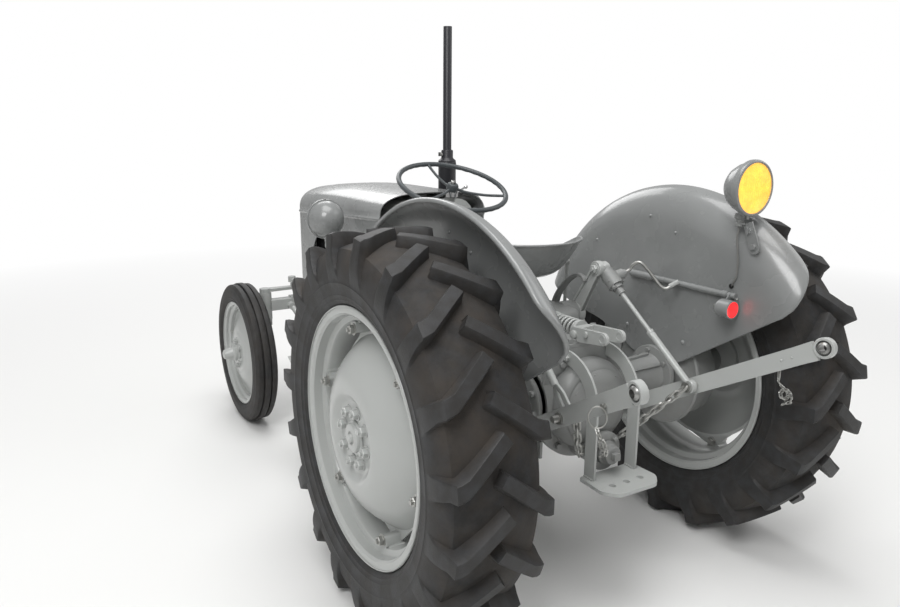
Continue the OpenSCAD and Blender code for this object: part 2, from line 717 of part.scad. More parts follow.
lever_foot = [0, 660, gearbox_z1];
lever_top = [0, 590, gearbox_z1 + 290];
hand_lever = [230, 286, cover_z0 + 190];
pedal_shaft = [600, gearbox_z0 + 70];
pedal_x = 232;
module controls() color(body_grey) from_axle() {
    upright(gearbox_z1, gearbox_z1 + 26, [0, lever_foot.y], 36);
    rod(lever_foot + [0, 0, 20], lever_top, 8);
    translate(lever_top) sphere(r = 21);
    across(cover_w / 2, hand_lever.x + 2, [hand_lever.y, cover_z0 + 6], 5.5);
    rod([hand_lever.x - 4, hand_lever.y, cover_z0 + 6], hand_lever, 6.5);
    translate(hand_lever) sphere(r = 12);
    both_sides() {
        across(130 + seat_gap, pedal_x + 18, pedal_shaft, 16);
        side_bar(pedal_x, pedal_shaft, pedal_shaft + [180, 120], 26, 16, 16);
        translate([pedal_x, pedal_shaft.x + 186, pedal_shaft.y + 126]) rotate([-40, 0, 0]) cube([70, 90, 12], center = true);
    }
}

module rear_housing() color(body_grey) from_axle() {
    side_x = trumpet_x0 - seat_gap;
    intersection() {
        along(strap_y + 5, gearbox_y0, [0, axle_z], 190);
        block([-side_x, strap_y, axle_z - 200], [side_x, gearbox_y0, cover_z0 - seat_gap]);
    }
    along(housing_face_y, strap_y + 6, [0, axle_z], 150);
    along(housing_face_y - 20, housing_face_y + 1, [0, axle_z], 128);
    across(-side_x, side_x, [0, axle_z], 130);
    block([-cover_w / 2, strap_y, axle_z + 100], [cover_w / 2, gearbox_y0, cover_z0 - seat_gap]);
    along(housing_face_y - 50, housing_face_y, [0, shaft_line_z], 64);
    both_sides() {
        across(100, link_pivot_x - 18, link_pivot, 32);
        across(170, link_pivot_x + 26, link_pivot, link_pivot_r);
    }
}

trumpet_x0 = 170;
trumpet_flange_r = 104;
trumpet_r = 58;
backplate_x = 436;
backplate_r = 190;
module axle_trumpets() color(body_grey) from_axle() both_sides() translate([0, 0, axle_z])
    turned([[0, trumpet_x0], [trumpet_flange_r, trumpet_x0], [trumpet_flange_r, trumpet_x0 + 14],
        [trumpet_r + 12, trumpet_x0 + 18], [trumpet_r, trumpet_x0 + 28], [trumpet_r + 8, guard_x - 30],
        [100, guard_x - 14], [100, guard_x - seat_gap], [64, guard_x - seat_gap], [64, backplate_x], [backplate_r, backplate_x],
        [backplate_r, backplate_x + 8], [axle_r, backplate_x + 8], [axle_r, rear_tyre_x + 50], [0, rear_tyre_x + 50]]);

cover_rear_y = 60;
module lift_cover() color(body_grey) from_axle() {
    w = cover_w / 2;
    difference() {
        union() {
            block([-w, strap_y, cover_z0], [w, 300, cover_z0 + 12]);
            block([-w + 20, cover_rear_y, cover_z0 + 10], [w - 20, 290, cover_z1]);
            both_sides() across(w - 40, lift_arm_x - lift_arm_t / 2 - 1, lift_shaft, 46);
        }
        block([-w, lift_shaft.x - 50, cover_z0 - 60], [w, lift_shaft.x + 50, cover_z0]);
        across(-w - 60, w + 60, lift_shaft, 25 + pin_gap);
    }
}

// Draft control: spring, yoke and the bracket that takes the top link
bracket_pin = [-216, axle_z + 240];
bracket_foot = [-88, cover_z0 + 38];
spring_z = cover_z0 + 44;
spring_r = 30;
spring_wire = 9;
spring_coils = 7;
module draft_spring() color(body_grey) from_axle() {
    coil_y0 = bracket_foot.x + 20;
    coil_pitch = (cover_rear_y - 12 - coil_y0) / spring_coils;
    difference() {
        union() {
            along(cover_rear_y - 14, cover_rear_y, [0, spring_z], spring_r);
            translate([0, coil_y0, spring_z]) rotate([-90, 0, 0]) rotate_extrude() polygon(concat([[0, -20]],
                [for (i = [0:spring_coils - 1]) each [[spring_r - spring_wire, i * coil_pitch],
                    [spring_r - 1, (i + 0.28) * coil_pitch], [spring_r, (i + 0.5) * coil_pitch],
                    [spring_r - 1, (i + 0.72) * coil_pitch]]],
                [[spring_r - spring_wire, spring_coils * coil_pitch], [0, spring_coils * coil_pitch]]));
            both_sides() side_bar(34, bracket_foot, bracket_pin, 24, 20, 14);
            block([-48, bracket_foot.x - 14, cover_z0 + 12], [48, bracket_foot.x + 18, cover_z0 + 62]);
        }
        across(-50, 50, bracket_pin, top_link_bore / 2);
    }
}

module shaft_cap() color(body_grey) from_axle() {
    along(housing_face_y - 90, housing_face_y - 50, [0, shaft_line_z], 34);
    translate([0, housing_face_y - 99, shaft_line_z]) cube([24, 18, 24], center = true);
}

// Drawbar: two straps that bend down from the cover to a plate with three holes
strap_x = 85;
strap_t = 8;
strap_w = 46;
strap_bend = 160;
strap_y = -105;
plate_z = 384;
plate_t = 12;
plate_y = -240;
plate_l = 130;
hole_pitch = 57;
module drawbar_hitch() color(body_grey) from_axle() {
    top = [strap_y, axle_z + 28];
    outer = concat(arc(top, strap_bend, 90, 180, 8), [[strap_y - strap_bend, plate_z + plate_t]]);
    inner = concat(arc(top, strap_bend - strap_w, 90, 180, 8), [[strap_y - strap_bend + strap_w, plate_z + plate_t]]);
    both_sides() plate(strap_x - strap_t / 2, strap_x + strap_t / 2,
        concat(outer, [for (i = [len(inner) - 1:-1:0]) inner[i]]));
    difference() {
        translate([0, 0, plate_z]) linear_extrude(plate_t)
            polygon(concat([[112, plate_y + 20], [-112, plate_y + 20]],
                arc([-82, plate_y - plate_l + 30], 30, 180, 270, 4), arc([82, plate_y - plate_l + 30], 30, 270, 360, 4)));
        for (i = [-1:1]) upright(plate_z - 1, plate_z + plate_t + 1, [i * hole_pitch, plate_y - 75], drawbar_bore / 2);
    }
}

// BODY

// Mudguard: a flat side that curves out into the crown, cut to its outline
guard_c = [-5, axle_z - 30];
guard_flat_r = guard_r - 122;
guard_out = 85;
guard_front_a = 21.5;
guard_rear_a = 145.4;
crown_steps = 6;
guard_corner_r = 95;
guard_foot = [[-112, axle_z + 66], [85, axle_z + 54], [285, axle_z + 133], [480, axle_z + 170]];
guard_rear_tip = guard_c + (guard_r + 20) * [cos(guard_rear_a), sin(guard_rear_a)];
edge_normal = -turn_left(unit(guard_rear_tip - guard_foot[0]));
edge_a = atan2(edge_normal.y, edge_normal.x);
corner_reach = guard_r - guard_corner_r;
corner_a = edge_a + acos((guard_corner_r - edge_normal * (guard_c - guard_foot[0])) / corner_reach);
corner_c = guard_c + corner_reach * [cos(corner_a), sin(corner_a)];
module mudguard() {
    crown = concat([[20, 0], [guard_flat_r, 0]], [for (i = [1:crown_steps]) let (a = 90 * i / crown_steps)
        [guard_flat_r + (guard_r - guard_flat_r) * sin(a), guard_out * (1 - cos(a))]]);
    difference() {
        intersection() {
            translate([guard_x, guard_c.x, guard_c.y]) union() {
                turned(strip(crown, guard_t));
                across(0, guard_t, [0, 0], 30);
                turned([for (i = [0:7]) [guard_r - 5, guard_out + 1] + 6 * [cos(i * 45), sin(i * 45)]]);
            }
            plate(guard_x - 5, guard_x + guard_out + 20, concat(arc(guard_c, guard_r + 20, guard_front_a, corner_a, 12),
                arc(corner_c, guard_corner_r, corner_a, edge_a + 180, 5), guard_foot));
        }
        across(guard_x - 10, guard_x + 20, [0, axle_z], 66);
    }
}
module mudguard_left() color(body_grey) from_axle() on_side(-1) mudguard();
module mudguard_right() color(body_grey) from_axle() on_side(1) mudguard();

// The seat pan is a dish, high at the back and cut low at the front, with drain holes
seat_y = 262;
seat_z = 951;
seat_t = 3;
seat_holes = 6;
module seat_pan() color(body_grey) from_axle() {
    flat = 0.45 * seat_r;
    path = concat([[0.1, 0], [flat, 0]], [for (i = [1:6]) let (a = 15 * i)
        [flat + (seat_r - flat) * sin(a), seat_depth * (1 - cos(a))]]);
    translate([0, seat_y, seat_z]) difference() {
        union() {
            rotate_extrude() polygon(strip(path, seat_t));
            translate([0, 0, seat_depth]) rotate_extrude() translate([seat_r - 1, 0]) circle(r = 4);
            cylinder(h = seat_t, r = 10);
        }
        translate([-seat_r - 20, 260, seat_depth + 60]) rotate([0, 90, 0]) cylinder(h = 2 * seat_r + 40, r = 250);
        for (i = [0:seat_holes - 1])
            rotate([0, 0, i * 360 / seat_holes]) translate([0.3 * seat_r, 0, -1]) cylinder(h = seat_t + 2, r = 10);
    }
}

leaf_t = 8;
spring_bend = 70;
spring_foot_y = 470;
spring_top_y = spring_foot_y - (seat_z - leaf_t - gearbox_z1) + 2 * spring_bend * (1 - sqrt(2));
module seat_spring() color(body_grey) from_axle()
    plate(-30, 30, strip(concat([[spring_foot_y + 85, gearbox_z1]],
        arc([spring_foot_y, gearbox_z1 + spring_bend], spring_bend, 270, 225, 3),
        arc([spring_top_y, seat_z - leaf_t - spring_bend], spring_bend, 45, 90, 3),
        [[spring_top_y - 60, seat_z - leaf_t]]), -leaf_t));

plate_top_z = clutch_z0 + 4;
module footplates() color(body_grey) from_axle() both_sides() {
    plate(block_w / 2 + 15, 556, [[640, clutch_z0], [1060, clutch_z0], [1180, clutch_z0 + 62], [1178, clutch_z0 + 66],
        [1058, plate_top_z], [640, plate_top_z]]);
    for (y = [700, 930]) block([20, y, clutch_z0 - 12], [540, y + 26, clutch_z0]);
}

// Work lamp on the right mudguard, its lens to the rear
lamp_at = [guard_x + 2, -343, axle_z + 687];
module work_lamp() from_axle() {
    color(body_grey) {
        translate(lamp_at) rotate([90, 0, 0]) rotate_extrude()
            polygon([[0, -78], [26, -76], [60, -50], [work_lamp_r - 6, -6], [work_lamp_r, 0], [work_lamp_r, 14],
                [work_lamp_r - 6, 18], [0, 22]]);
        upright(lamp_at.z - 120, lamp_at.z - 60, [guard_x - 4, lamp_at.y + 26], 12);
        side_bar(guard_x - 3, [lamp_at.y + 26, lamp_at.z - 110], [lamp_at.y - 38, lamp_at.z - 180], 14, 19, 5);
    }
}

tube_z = axle_z + 347;
module tail_lamp() color(body_grey) from_axle() {
    along(-335, 130, [guard_x - 12, tube_z], 10);
    for (y = [-300, 60]) block([guard_x - 14, y, tube_z - 14], [guard_x, y + 20, tube_z + 14]);
    along(-352, -300, [guard_x - 40, tube_z - 37], 30);
    block([guard_x - 44, -330, tube_z - 20], [guard_x - 8, -312, tube_z + 4]);
}

headlamp_at = [360, block_y0 + 185, block_z1 + 242];
module headlamps() color(body_grey) from_axle() both_sides() {
    translate(headlamp_at) rotate([-90, 0, 0]) rotate_extrude()
        polygon([[0, -72], [30, -66], [62, -42], [headlamp_r - 4, 0], [headlamp_r, 6], [headlamp_r, 18],
            [headlamp_r - 8, 26], [0, 34]]);
    foot = [block_w / 2 - 37, headlamp_at.y - 5];
    upright(headlamp_at.z - 130, headlamp_at.z - 70, [headlamp_at.x, foot.y], 12);
    translate([headlamp_at.x, foot.y, headlamp_at.z - 130]) sphere(r = 12);
    across(foot.x, headlamp_at.x, [foot.y, headlamp_at.z - 130], 12);
    upright(block_z1 + 60, headlamp_at.z - 118, foot, 12);
}

dash_y0 = bonnet_rear_y - 12;
dash_y1 = bonnet_rear_y - 2;
tank_y0 = dash_y1 + seat_gap;
tank_y1 = block_y1 - 200;
module fuel_tank() color(body_grey) from_axle() {
    translate([0, tank_y1, 0]) rotate([90, 0, 0]) linear_extrude(tank_y1 - tank_y0)
        polygon(concat(arc([150, 1035], 45, 270, 360, 4), arc([110, 1070], 85, 0, 90, 5),
            arc([-110, 1070], 85, 90, 180, 5), arc([-150, 1035], 45, 180, 270, 4)));
    block([-40, tank_y1 - 50, rocker_z], [40, tank_y1 - 10, rocker_z + 47]);
    upright(rocker_z + 205, rocker_z + 223, [0, tank_y0 + 122], 32);
}

module dash_panel() color(body_grey) from_axle() {
    difference() {
        block([-205, dash_y0, clutch_z1 + 125], [205, dash_y1, bonnet_top_z - 76]);
        block([-48, dash_y0 - 8, clutch_z1 + 124], [48, dash_y1 + 2, clutch_z1 + 190]);
    }
    both_sides() along(dash_y0 - 12, dash_y0 + 2, [110, bonnet_top_z - 146], 36);
}

// BONNET

bonnet_x = bonnet_w / 2;
bonnet_front_y = wheelbase + bonnet_overhang;
nose_r = 60;
bonnet_skirt_z = 960;
cheek_z = 632;
arch_y = bonnet_front_y - 352;
droop_y = bonnet_front_y - 552;
arch_l = 190;
bead_rise = 5;
function bead_z(y) = 1027 + (bonnet_front_y - y) * 0.061;
function skirt_z(y) = y < arch_y ? bonnet_skirt_z
    : y < arch_y + arch_l ? cheek_z + (bonnet_skirt_z - cheek_z) * sqrt(1 - pow((y - arch_y) / arch_l, 2)) : cheek_z;
function top_z(y) = bonnet_top_z - 40 * pow(max(0, y - droop_y) / (bonnet_front_y - droop_y), 2);

// Stations along the bonnet: [Y, inset of the outline]
bonnet_stations = concat(
    [for (i = [0:4]) [bonnet_rear_y + (arch_y - bonnet_rear_y) * i / 4, 0]],
    [for (i = [1:6]) [arch_y + arch_l * sin(15 * i), 0]],
    [for (i = [0:5]) [bonnet_front_y - nose_r + nose_r * sin(18 * i), nose_r * (1 - cos(18 * i))]],
    [[bonnet_front_y, nose_r + 50]]);
shoulder_steps = 6;
function bonnet_side(y, inset, t) = let (w = bonnet_x - inset - t, zb = bead_z(y), z1 = top_z(y) - inset - t, b = t > 0 ? 0 : bead_rise)
    concat([[w, skirt_z(y)], [w, zb - 9], [w + b, zb], [w, zb + 9]],
        [for (i = [1:shoulder_steps]) let (a = 90 * i / shoulder_steps)
            [w * pow(max(cos(a), 0), 0.62), zb + 9 + (z1 - zb - 9) * pow(sin(a), 0.75)]]);
function bonnet_ring(s, t) = let (half = bonnet_side(s.x, s.y, t), y = s.x - (s.y > 0 ? t : 0))
    concat([for (p = half) [p.x, y, p.y]], [for (i = [len(half) - 2:-1:0]) [-half[i].x, y, half[i].y]]);

module bonnet() color(body_grey) from_axle() {
    n = len(bonnet_stations);
    m = 2 * (4 + shoulder_steps) - 1;
    outer = [for (s = bonnet_stations) each bonnet_ring(s, 0)];
    inner = [for (s = bonnet_stations) each bonnet_ring(s, bonnet_t)];
    skin = n * m;
    polyhedron(points = concat(outer, inner), faces = concat(
        [for (i = [0:n - 2], j = [0:m - 2]) each [[i * m + j, i * m + j + 1, (i + 1) * m + j + 1], [i * m + j, (i + 1) * m + j + 1, (i + 1) * m + j]]],
        [for (i = [0:n - 2], j = [0:m - 2]) each [[skin + i * m + j, skin + (i + 1) * m + j + 1, skin + i * m + j + 1], [skin + i * m + j, skin + (i + 1) * m + j, skin + (i + 1) * m + j + 1]]],
        [for (j = [0:m - 2]) each [[j, skin + j, skin + j + 1], [j, skin + j + 1, j + 1]]],
        [for (j = [0:m - 2]) let (k = (n - 1) * m + j) each [[k, k + 1, skin + k + 1], [k, skin + k + 1, skin + k]]],
        [for (i = [0:n - 2]) let (k = i * m) each [[k, k + m, skin + k + m], [k, skin + k + m, skin + k]]],
        [for (i = [0:n - 2]) let (k = i * m + m - 1) each [[k, skin + k + m, k + m], [k, skin + k, skin + k + m]]]));
    both_sides() difference() {
        plate(hinge_x + 12, hinge_x + 22, concat(arc(hinge, 18, 180, 300, 5),
            [[bonnet_front_y - 1, cheek_z + 20], [bonnet_front_y - 1, cheek_z + 60], [bonnet_front_y - 30, cheek_z + 60]]));
        across(hinge_x, hinge_x + 30, hinge, hinge_r + pin_gap);
    }
}

// Grille: a frame of upright bars set in the nose
grille_w = 2 * (bonnet_x - nose_r - 50) + 30;
grille_z0 = cheek_z + 30;
grille_z1 = 1072;
module grille() color(body_grey) from_axle() {
    w = grille_w / 2;
    pitch = (grille_w - 30) / (grille_bars + 1);
    y1 = bonnet_front_y - bonnet_t - seat_gap;
    difference() {
        block([-w, y1 - 14, grille_z0], [w, y1, grille_z1]);
        for (i = [0:grille_bars])
            block([-w + 15 + i * pitch + 3, y1 - 16, grille_z0 + 18], [-w + 15 + (i + 1) * pitch - 3, y1 + 1, grille_z1 - 18]);
    }
}

// LIFT

arm_pin_r = 10;
arm_pin_x = lift_arm_x + lift_arm_t / 2;
rod_eye_t = 22;
rod_top_x = arm_pin_x + 4 + rod_eye_t / 2;
module lift_arms() color(body_grey) from_axle() {
    across(-lift_arm_x - 8, lift_arm_x + 8, lift_shaft, 25);
    both_sides() {
        side_bar(lift_arm_x, lift_shaft, arm_end, 42, 26, lift_arm_t);
        across(lift_arm_x, arm_pin_x + 4 + rod_eye_t + 8, arm_end, arm_pin_r);
    }
}

// Lower link: a flat bar splayed outwards, with a bored ball in its rear eye
module lower_link() {
    difference() {
        translate([link_pivot_x, link_pivot.x, link_pivot.y])
            rotate([-link_rise, 0, 0]) rotate([0, 0, link_splay]) rotate([-90, 0, -90]) {
                bar(link_bar_l, link_bar_r, link_bar_r, link_t);
                cylinder(h = link_t + 6, r = link_bar_r, center = true);
                translate([link_bar_l, 0, 0]) {
                    cylinder(h = link_t + 8, r = link_eye_r, center = true);
                    sphere(r = norm([ball_w, ball_bore]) / 2);
                }
            }
        across(link_pivot_x - 40, link_pivot_x + 40, link_pivot, link_pivot_r + pin_gap);
        across(link_ball_x - 60, link_ball_x + 60, link_ball, ball_bore / 2);
    }
}
module lower_link_left() color(body_grey) from_axle() on_side(-1) lower_link();
module lower_link_right() color(body_grey) from_axle() on_side(1) lower_link();

// Lift rod: hangs from the lift arm's pin, its lower eye beside the link
link_pin_x = link_pivot_x + (link_ball_x - link_pivot_x) * link_pin_l / lower_link_l;
rod_low_x = link_pin_x - link_t / 2 - 12 - rod_eye_t / 2;
module lift_rod(box) {
    top = [rod_top_x, arm_end.x, arm_end.y];
    low = [rod_low_x, link_pin.x, link_pin.y];
    hub = top + 0.1 * (low - top);
    crank = [hub, hub + [56, -5, 17], hub + [84, -22, 48], hub + [128, -104, -18], hub + [166, -134, -2]];
    difference() {
        union() {
            across(rod_top_x - rod_eye_t / 2, rod_top_x + rod_eye_t / 2, arm_end, 24);
            across(rod_low_x - rod_eye_t / 2, rod_low_x + rod_eye_t / 2, link_pin, 22);
            rod(top, low, 12);
            if (box) {
                rod(top + 0.06 * (low - top), top + 0.26 * (low - top), 27);
                rod(crank[0], crank[1], 14);
                for (i = [1:len(crank) - 2]) {
                    rod(crank[i], crank[i + 1], 6);
                    translate(crank[i + 1]) sphere(r = 7);
                }
            }
        }
        across(rod_top_x - rod_eye_t, rod_top_x + rod_eye_t, arm_end, arm_pin_r + pin_gap);
    }
}
module lift_rod_left() color(body_grey) from_axle() on_side(-1) lift_rod(false);
module lift_rod_right() color(body_grey) from_axle() on_side(1) lift_rod(true);

engine_block();
engine_fittings();
exhaust_stack();
radiator();
front_support();
fuel_tank();
dash_panel();
steering_column();
gearbox();
controls();
rear_housing();
axle_trumpets();
lift_cover();
draft_spring();
shaft_cap();
drawbar_hitch();
mudguard_left();
mudguard_right();
seat_pan();
seat_spring();
footplates();
work_lamp();
tail_lamp();
headlamps();
front_axle();
radius_rods();
bonnet();
grille();
steering_wheel();
drop_arm_left();
drop_arm_right();
drag_link_left();
drag_link_right();
knuckle_left();
knuckle_right();
front_tyre_left();
front_tyre_right();
front_wheel_left();
front_wheel_right();
rear_tyre_left();
rear_tyre_right();
rear_rim_left();
rear_rim_right();
rear_disc_left();
rear_disc_right();
lift_arms();
lower_link_left();
lower_link_right();
lift_rod_left();
lift_rod_right();
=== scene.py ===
"""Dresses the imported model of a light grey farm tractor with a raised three-point linkage.

The classes below hold their sizes in millimetres, with X to the tractor's right, Y forward from the rear
axle and Z up from the ground. A Form gathers such points, and Workshop.piece turns it into a Blender object
in metres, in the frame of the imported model.
"""

from __future__ import annotations

import json
import logging
import math
from dataclasses import dataclass, field
from enum import Enum
from typing import Iterable, Sequence

import bpy
import numpy as np
from mathutils import Matrix, Vector
from numpy.lib.stride_tricks import sliding_window_view

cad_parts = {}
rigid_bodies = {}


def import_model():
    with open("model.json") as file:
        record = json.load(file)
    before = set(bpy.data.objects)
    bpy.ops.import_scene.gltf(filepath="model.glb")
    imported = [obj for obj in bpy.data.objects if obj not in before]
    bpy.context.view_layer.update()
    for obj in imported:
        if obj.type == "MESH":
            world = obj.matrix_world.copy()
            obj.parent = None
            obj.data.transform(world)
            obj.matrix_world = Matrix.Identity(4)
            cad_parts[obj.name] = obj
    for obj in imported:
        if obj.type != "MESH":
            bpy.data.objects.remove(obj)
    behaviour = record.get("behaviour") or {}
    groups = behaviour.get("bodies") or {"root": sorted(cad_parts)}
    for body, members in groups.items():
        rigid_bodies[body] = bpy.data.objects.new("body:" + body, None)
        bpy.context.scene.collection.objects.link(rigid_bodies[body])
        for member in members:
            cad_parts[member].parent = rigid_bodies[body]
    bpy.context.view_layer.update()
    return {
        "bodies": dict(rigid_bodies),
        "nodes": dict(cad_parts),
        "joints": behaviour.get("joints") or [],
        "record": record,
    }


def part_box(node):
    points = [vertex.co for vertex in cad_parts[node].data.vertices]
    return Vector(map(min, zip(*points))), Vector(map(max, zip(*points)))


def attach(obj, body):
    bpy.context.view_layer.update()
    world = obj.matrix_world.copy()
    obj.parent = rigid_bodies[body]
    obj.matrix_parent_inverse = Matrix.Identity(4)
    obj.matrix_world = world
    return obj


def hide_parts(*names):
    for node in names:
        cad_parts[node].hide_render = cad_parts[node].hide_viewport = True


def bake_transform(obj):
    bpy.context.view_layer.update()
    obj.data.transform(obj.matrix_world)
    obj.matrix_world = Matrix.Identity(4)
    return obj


log = logging.getLogger("tractor")

MM = 0.001
POLE = 1e-6  # an end row of a grid that is narrower than this becomes a pole
TINY = 1e-9  # keeps a direction without a length from being divided by zero
COLOUR_A, COLOUR_B, COLOUR_OUT = 6, 7, 2  # the colour sockets of a Mix node
Array = np.ndarray
Point = Sequence[float]
Pair = tuple[float, float]
Triple = tuple[float, float, float]
Socket = bpy.types.NodeSocket
Thing = bpy.types.Object


class Axis(Enum):
    """A direction of the tractor's frame."""

    X = 0
    Y = 1
    Z = 2


class Side(Enum):
    """A side of the tractor; the value multiplies X."""

    LEFT = -1
    RIGHT = 1

    @property
    def word(self) -> str:
        """The side as it stands in the names of nodes and bodies."""
        return self.name.lower()


def show(name: str, data: bpy.types.ID) -> Thing:
    """Makes an object from its data and puts it into the scene.

    Args:
        name: the object's name.
        data: its mesh, camera or lamp.

    Returns:
        The new object.
    """
    made = bpy.data.objects.new(name, data)
    bpy.context.scene.collection.objects.link(made)
    return made


# FINISHES


class Graph:
    """The node tree of one material, with short calls for the nodes that the finishes share."""

    def __init__(self, name: str) -> None:
        """Starts a material with a Principled shader and Object coordinates.

        Args:
            name: the material's name.
        """
        self.material = bpy.data.materials.new(name)
        self.material.use_nodes = True
        self.tree = self.material.node_tree
        self.shader = self.tree.nodes["Principled BSDF"]
        self.place = self.tree.nodes.new("ShaderNodeTexCoord").outputs["Object"]

    def node(self, kind: str, **settings: object) -> bpy.types.Node:
        """Adds a node.

        Args:
            kind: Blender's name of the node type.
            settings: values for the node's own properties.

        Returns:
            The new node.
        """
        made = self.tree.nodes.new(kind)
        for name, value in settings.items():
            setattr(made, name, value)
        return made

    def link(self, source: Socket, target: Socket) -> None:
        """Joins an output to an input."""
        self.tree.links.new(source, target)

    def noise(self, scale: float, detail: float = 3.0, rough: float = 0.55) -> Socket:
        """Adds a noise over the object's own coordinates.

        Args:
            scale: features for each metre.
            detail: octaves of the noise.
            rough: share of each finer octave.

        Returns:
            The noise's height output.
        """
        made = self.node("ShaderNodeTexNoise")
        made.inputs["Scale"].default_value = scale
        made.inputs["Detail"].default_value = detail
        made.inputs["Roughness"].default_value = rough
        self.link(self.place, made.inputs["Vector"])
        return made.outputs[0]

    def span(self, source: Socket, low: float, high: float, to_low: float = 0.0,
             to_high: float = 1.0) -> Socket:
        """Maps a value's range to another one, clamped.

        Args:
            source: the value.
            low: value that becomes to_low.
            high: value that becomes to_high.
            to_low: result at low.
            to_high: result at high.

        Returns:
            The mapped value.
        """
        made = self.node("ShaderNodeMapRange")
        self.link(source, made.inputs["Value"])
        for name, value in (("From Min", low), ("From Max", high), ("To Min", to_low), ("To Max", to_high)):
            made.inputs[name].default_value = value
        return made.outputs["Result"]

    def times(self, a: Socket, b: Socket | float) -> Socket:
        """Multiplies a value by another value or by a number.

        Args:
            a: the value.
            b: another value, or a number.

        Returns:
            The product.
        """
        made = self.node("ShaderNodeMath", operation="MULTIPLY")
        self.link(a, made.inputs[0])
        if isinstance(b, float):
            made.inputs[1].default_value = b
        else:
            self.link(b, made.inputs[1])
        return made.outputs[0]

    def mix(self, share: Socket, a: Point | Socket, b: Point) -> Socket:
        """Mixes two colours.

        Args:
            share: how much of b shows.
            a: first colour, as numbers or an output.
            b: second colour.

        Returns:
            The mixed colour.
        """
        made = self.node("ShaderNodeMix", data_type="RGBA")
        self.link(share, made.inputs[0])
        if isinstance(a, Socket):
            self.link(a, made.inputs[COLOUR_A])
        else:
            made.inputs[COLOUR_A].default_value = (*a, 1.0)
        made.inputs[COLOUR_B].default_value = (*b, 1.0)
        return made.outputs[COLOUR_OUT]

    def height(self) -> Socket:
        """Adds a measure of the shaded point's height above the ground.

        Returns:
            The height in metres.
        """
        made = self.node("ShaderNodeSeparateXYZ")
        self.link(self.place, made.inputs[0])
        return made.outputs[2]

    def bump(self, height: Socket, depth: float, strength: float = 1.0) -> None:
        """Gives the shader a bump.

        Args:
            height: the height field.
            depth: depth of the bump in metres.
            strength: how much of it shows.
        """
        made = self.node("ShaderNodeBump")
        made.inputs["Strength"].default_value = strength
        made.inputs["Distance"].default_value = depth
        self.link(height, made.inputs["Height"])
        self.link(made.outputs["Normal"], self.shader.inputs["Normal"])

    def set(self, **values: object) -> None:
        """Sets the shader's own sockets; an underscore stands for a space in a socket's name."""
        for name, value in values.items():
            self.shader.inputs[name.replace("_", " ")].default_value = value


@dataclass(frozen=True)
class Finish:
    """A finish: its name, its colour and how rough and metallic it is."""

    name: str
    colour: Triple
    roughness: float = 0.4
    metallic: float = 0.0

    def material(self) -> bpy.types.Material:
        """Returns the finish's material, made once.

        Returns:
            The material.
        """
        found = bpy.data.materials.get(self.name)
        if found:
            return found
        graph = Graph(self.name)
        graph.set(Roughness=self.roughness, Metallic=self.metallic)
        self.dress(graph)
        return graph.material

    def dress(self, graph: Graph) -> None:
        """Adds the finish's own nodes: a plain finish has a faint mottle in its colour and gloss.

        Args:
            graph: the material's node tree.
        """
        darker = tuple(0.8 * c for c in self.colour)
        graph.link(graph.mix(graph.span(graph.noise(18.0), 0.35, 0.7), self.colour, darker),
                   graph.shader.inputs["Base Color"])
        graph.link(graph.span(graph.noise(60.0), 0.3, 0.7, self.roughness - 0.05, self.roughness + 0.08),
                   graph.shader.inputs["Roughness"])
        graph.bump(graph.noise(420.0, 2.0), 0.0002, 0.25)


@dataclass(frozen=True)
class Paint(Finish):
    """Brushed-on gloss paint: slight orange peel, a clear top, and dust that thickens near the ground."""

    dust: Triple = (0.20, 0.17, 0.13)
    dust_height: float = 0.75
    dust_share: float = 0.30
    peel: float = 0.10

    def dress(self, graph: Graph) -> None:
        """Adds the paint's shade changes, its dust and its peel.

        Args:
            graph: the material's node tree.
        """
        shade = tuple(0.88 * c for c in self.colour)
        base = graph.mix(graph.span(graph.noise(4.0, 4.0), 0.35, 0.7), self.colour, shade)
        low = graph.span(graph.height(), self.dust_height, 0.2, 0.0, self.dust_share)
        speck = graph.span(graph.noise(26.0, 6.0, 0.7), 0.42, 0.72)
        graph.link(graph.mix(graph.times(low, speck), base, self.dust), graph.shader.inputs["Base Color"])
        graph.link(graph.span(graph.noise(9.0, 3.0), 0.35, 0.75, self.roughness, self.roughness + 0.07),
                   graph.shader.inputs["Roughness"])
        graph.set(Coat_Weight=0.45, Coat_Roughness=0.12)
        if self.peel:
            graph.bump(graph.noise(110.0, 1.0), 0.0003, self.peel)


@dataclass(frozen=True)
class Cast(Paint):
    """Paint over rough castings: the same colour with the grain of sand-cast iron in place of the peel."""

    peel: float = 0.0

    def dress(self, graph: Graph) -> None:
        """Adds the casting's grain under the paint.

        Args:
            graph: the material's node tree.
        """
        super().dress(graph)
        graph.set(Coat_Weight=0.2, Coat_Roughness=0.2)
        graph.bump(graph.noise(320.0, 5.0, 0.65), 0.0009, 0.4)


@dataclass(frozen=True)
class Rubber(Finish):
    """Tyre rubber with dried earth: the tyre's dust attribute says how much of it lies where."""

    earth: Triple = (0.046, 0.038, 0.031)
    worn: Triple = (0.027, 0.028, 0.030)

    def dress(self, graph: Graph) -> None:
        """Adds the earth, the worn tops of the lugs and a fine grain.

        Args:
            graph: the material's node tree.
        """
        dust = graph.node("ShaderNodeAttribute", attribute_name="dust").outputs["Fac"]
        tops = graph.mix(graph.span(graph.noise(30.0, 5.0), 0.4, 0.65), self.colour, self.worn)
        smear = graph.span(graph.noise(7.0, 6.0, 0.68), 0.36, 0.66)
        graph.link(graph.mix(graph.times(dust, smear), tops, self.earth), graph.shader.inputs["Base Color"])
        graph.link(graph.span(dust, 0.0, 1.0, self.roughness - 0.16, self.roughness + 0.1),
                   graph.shader.inputs["Roughness"])
        graph.bump(graph.noise(170.0, 6.0, 0.7), 0.0016, 0.5)


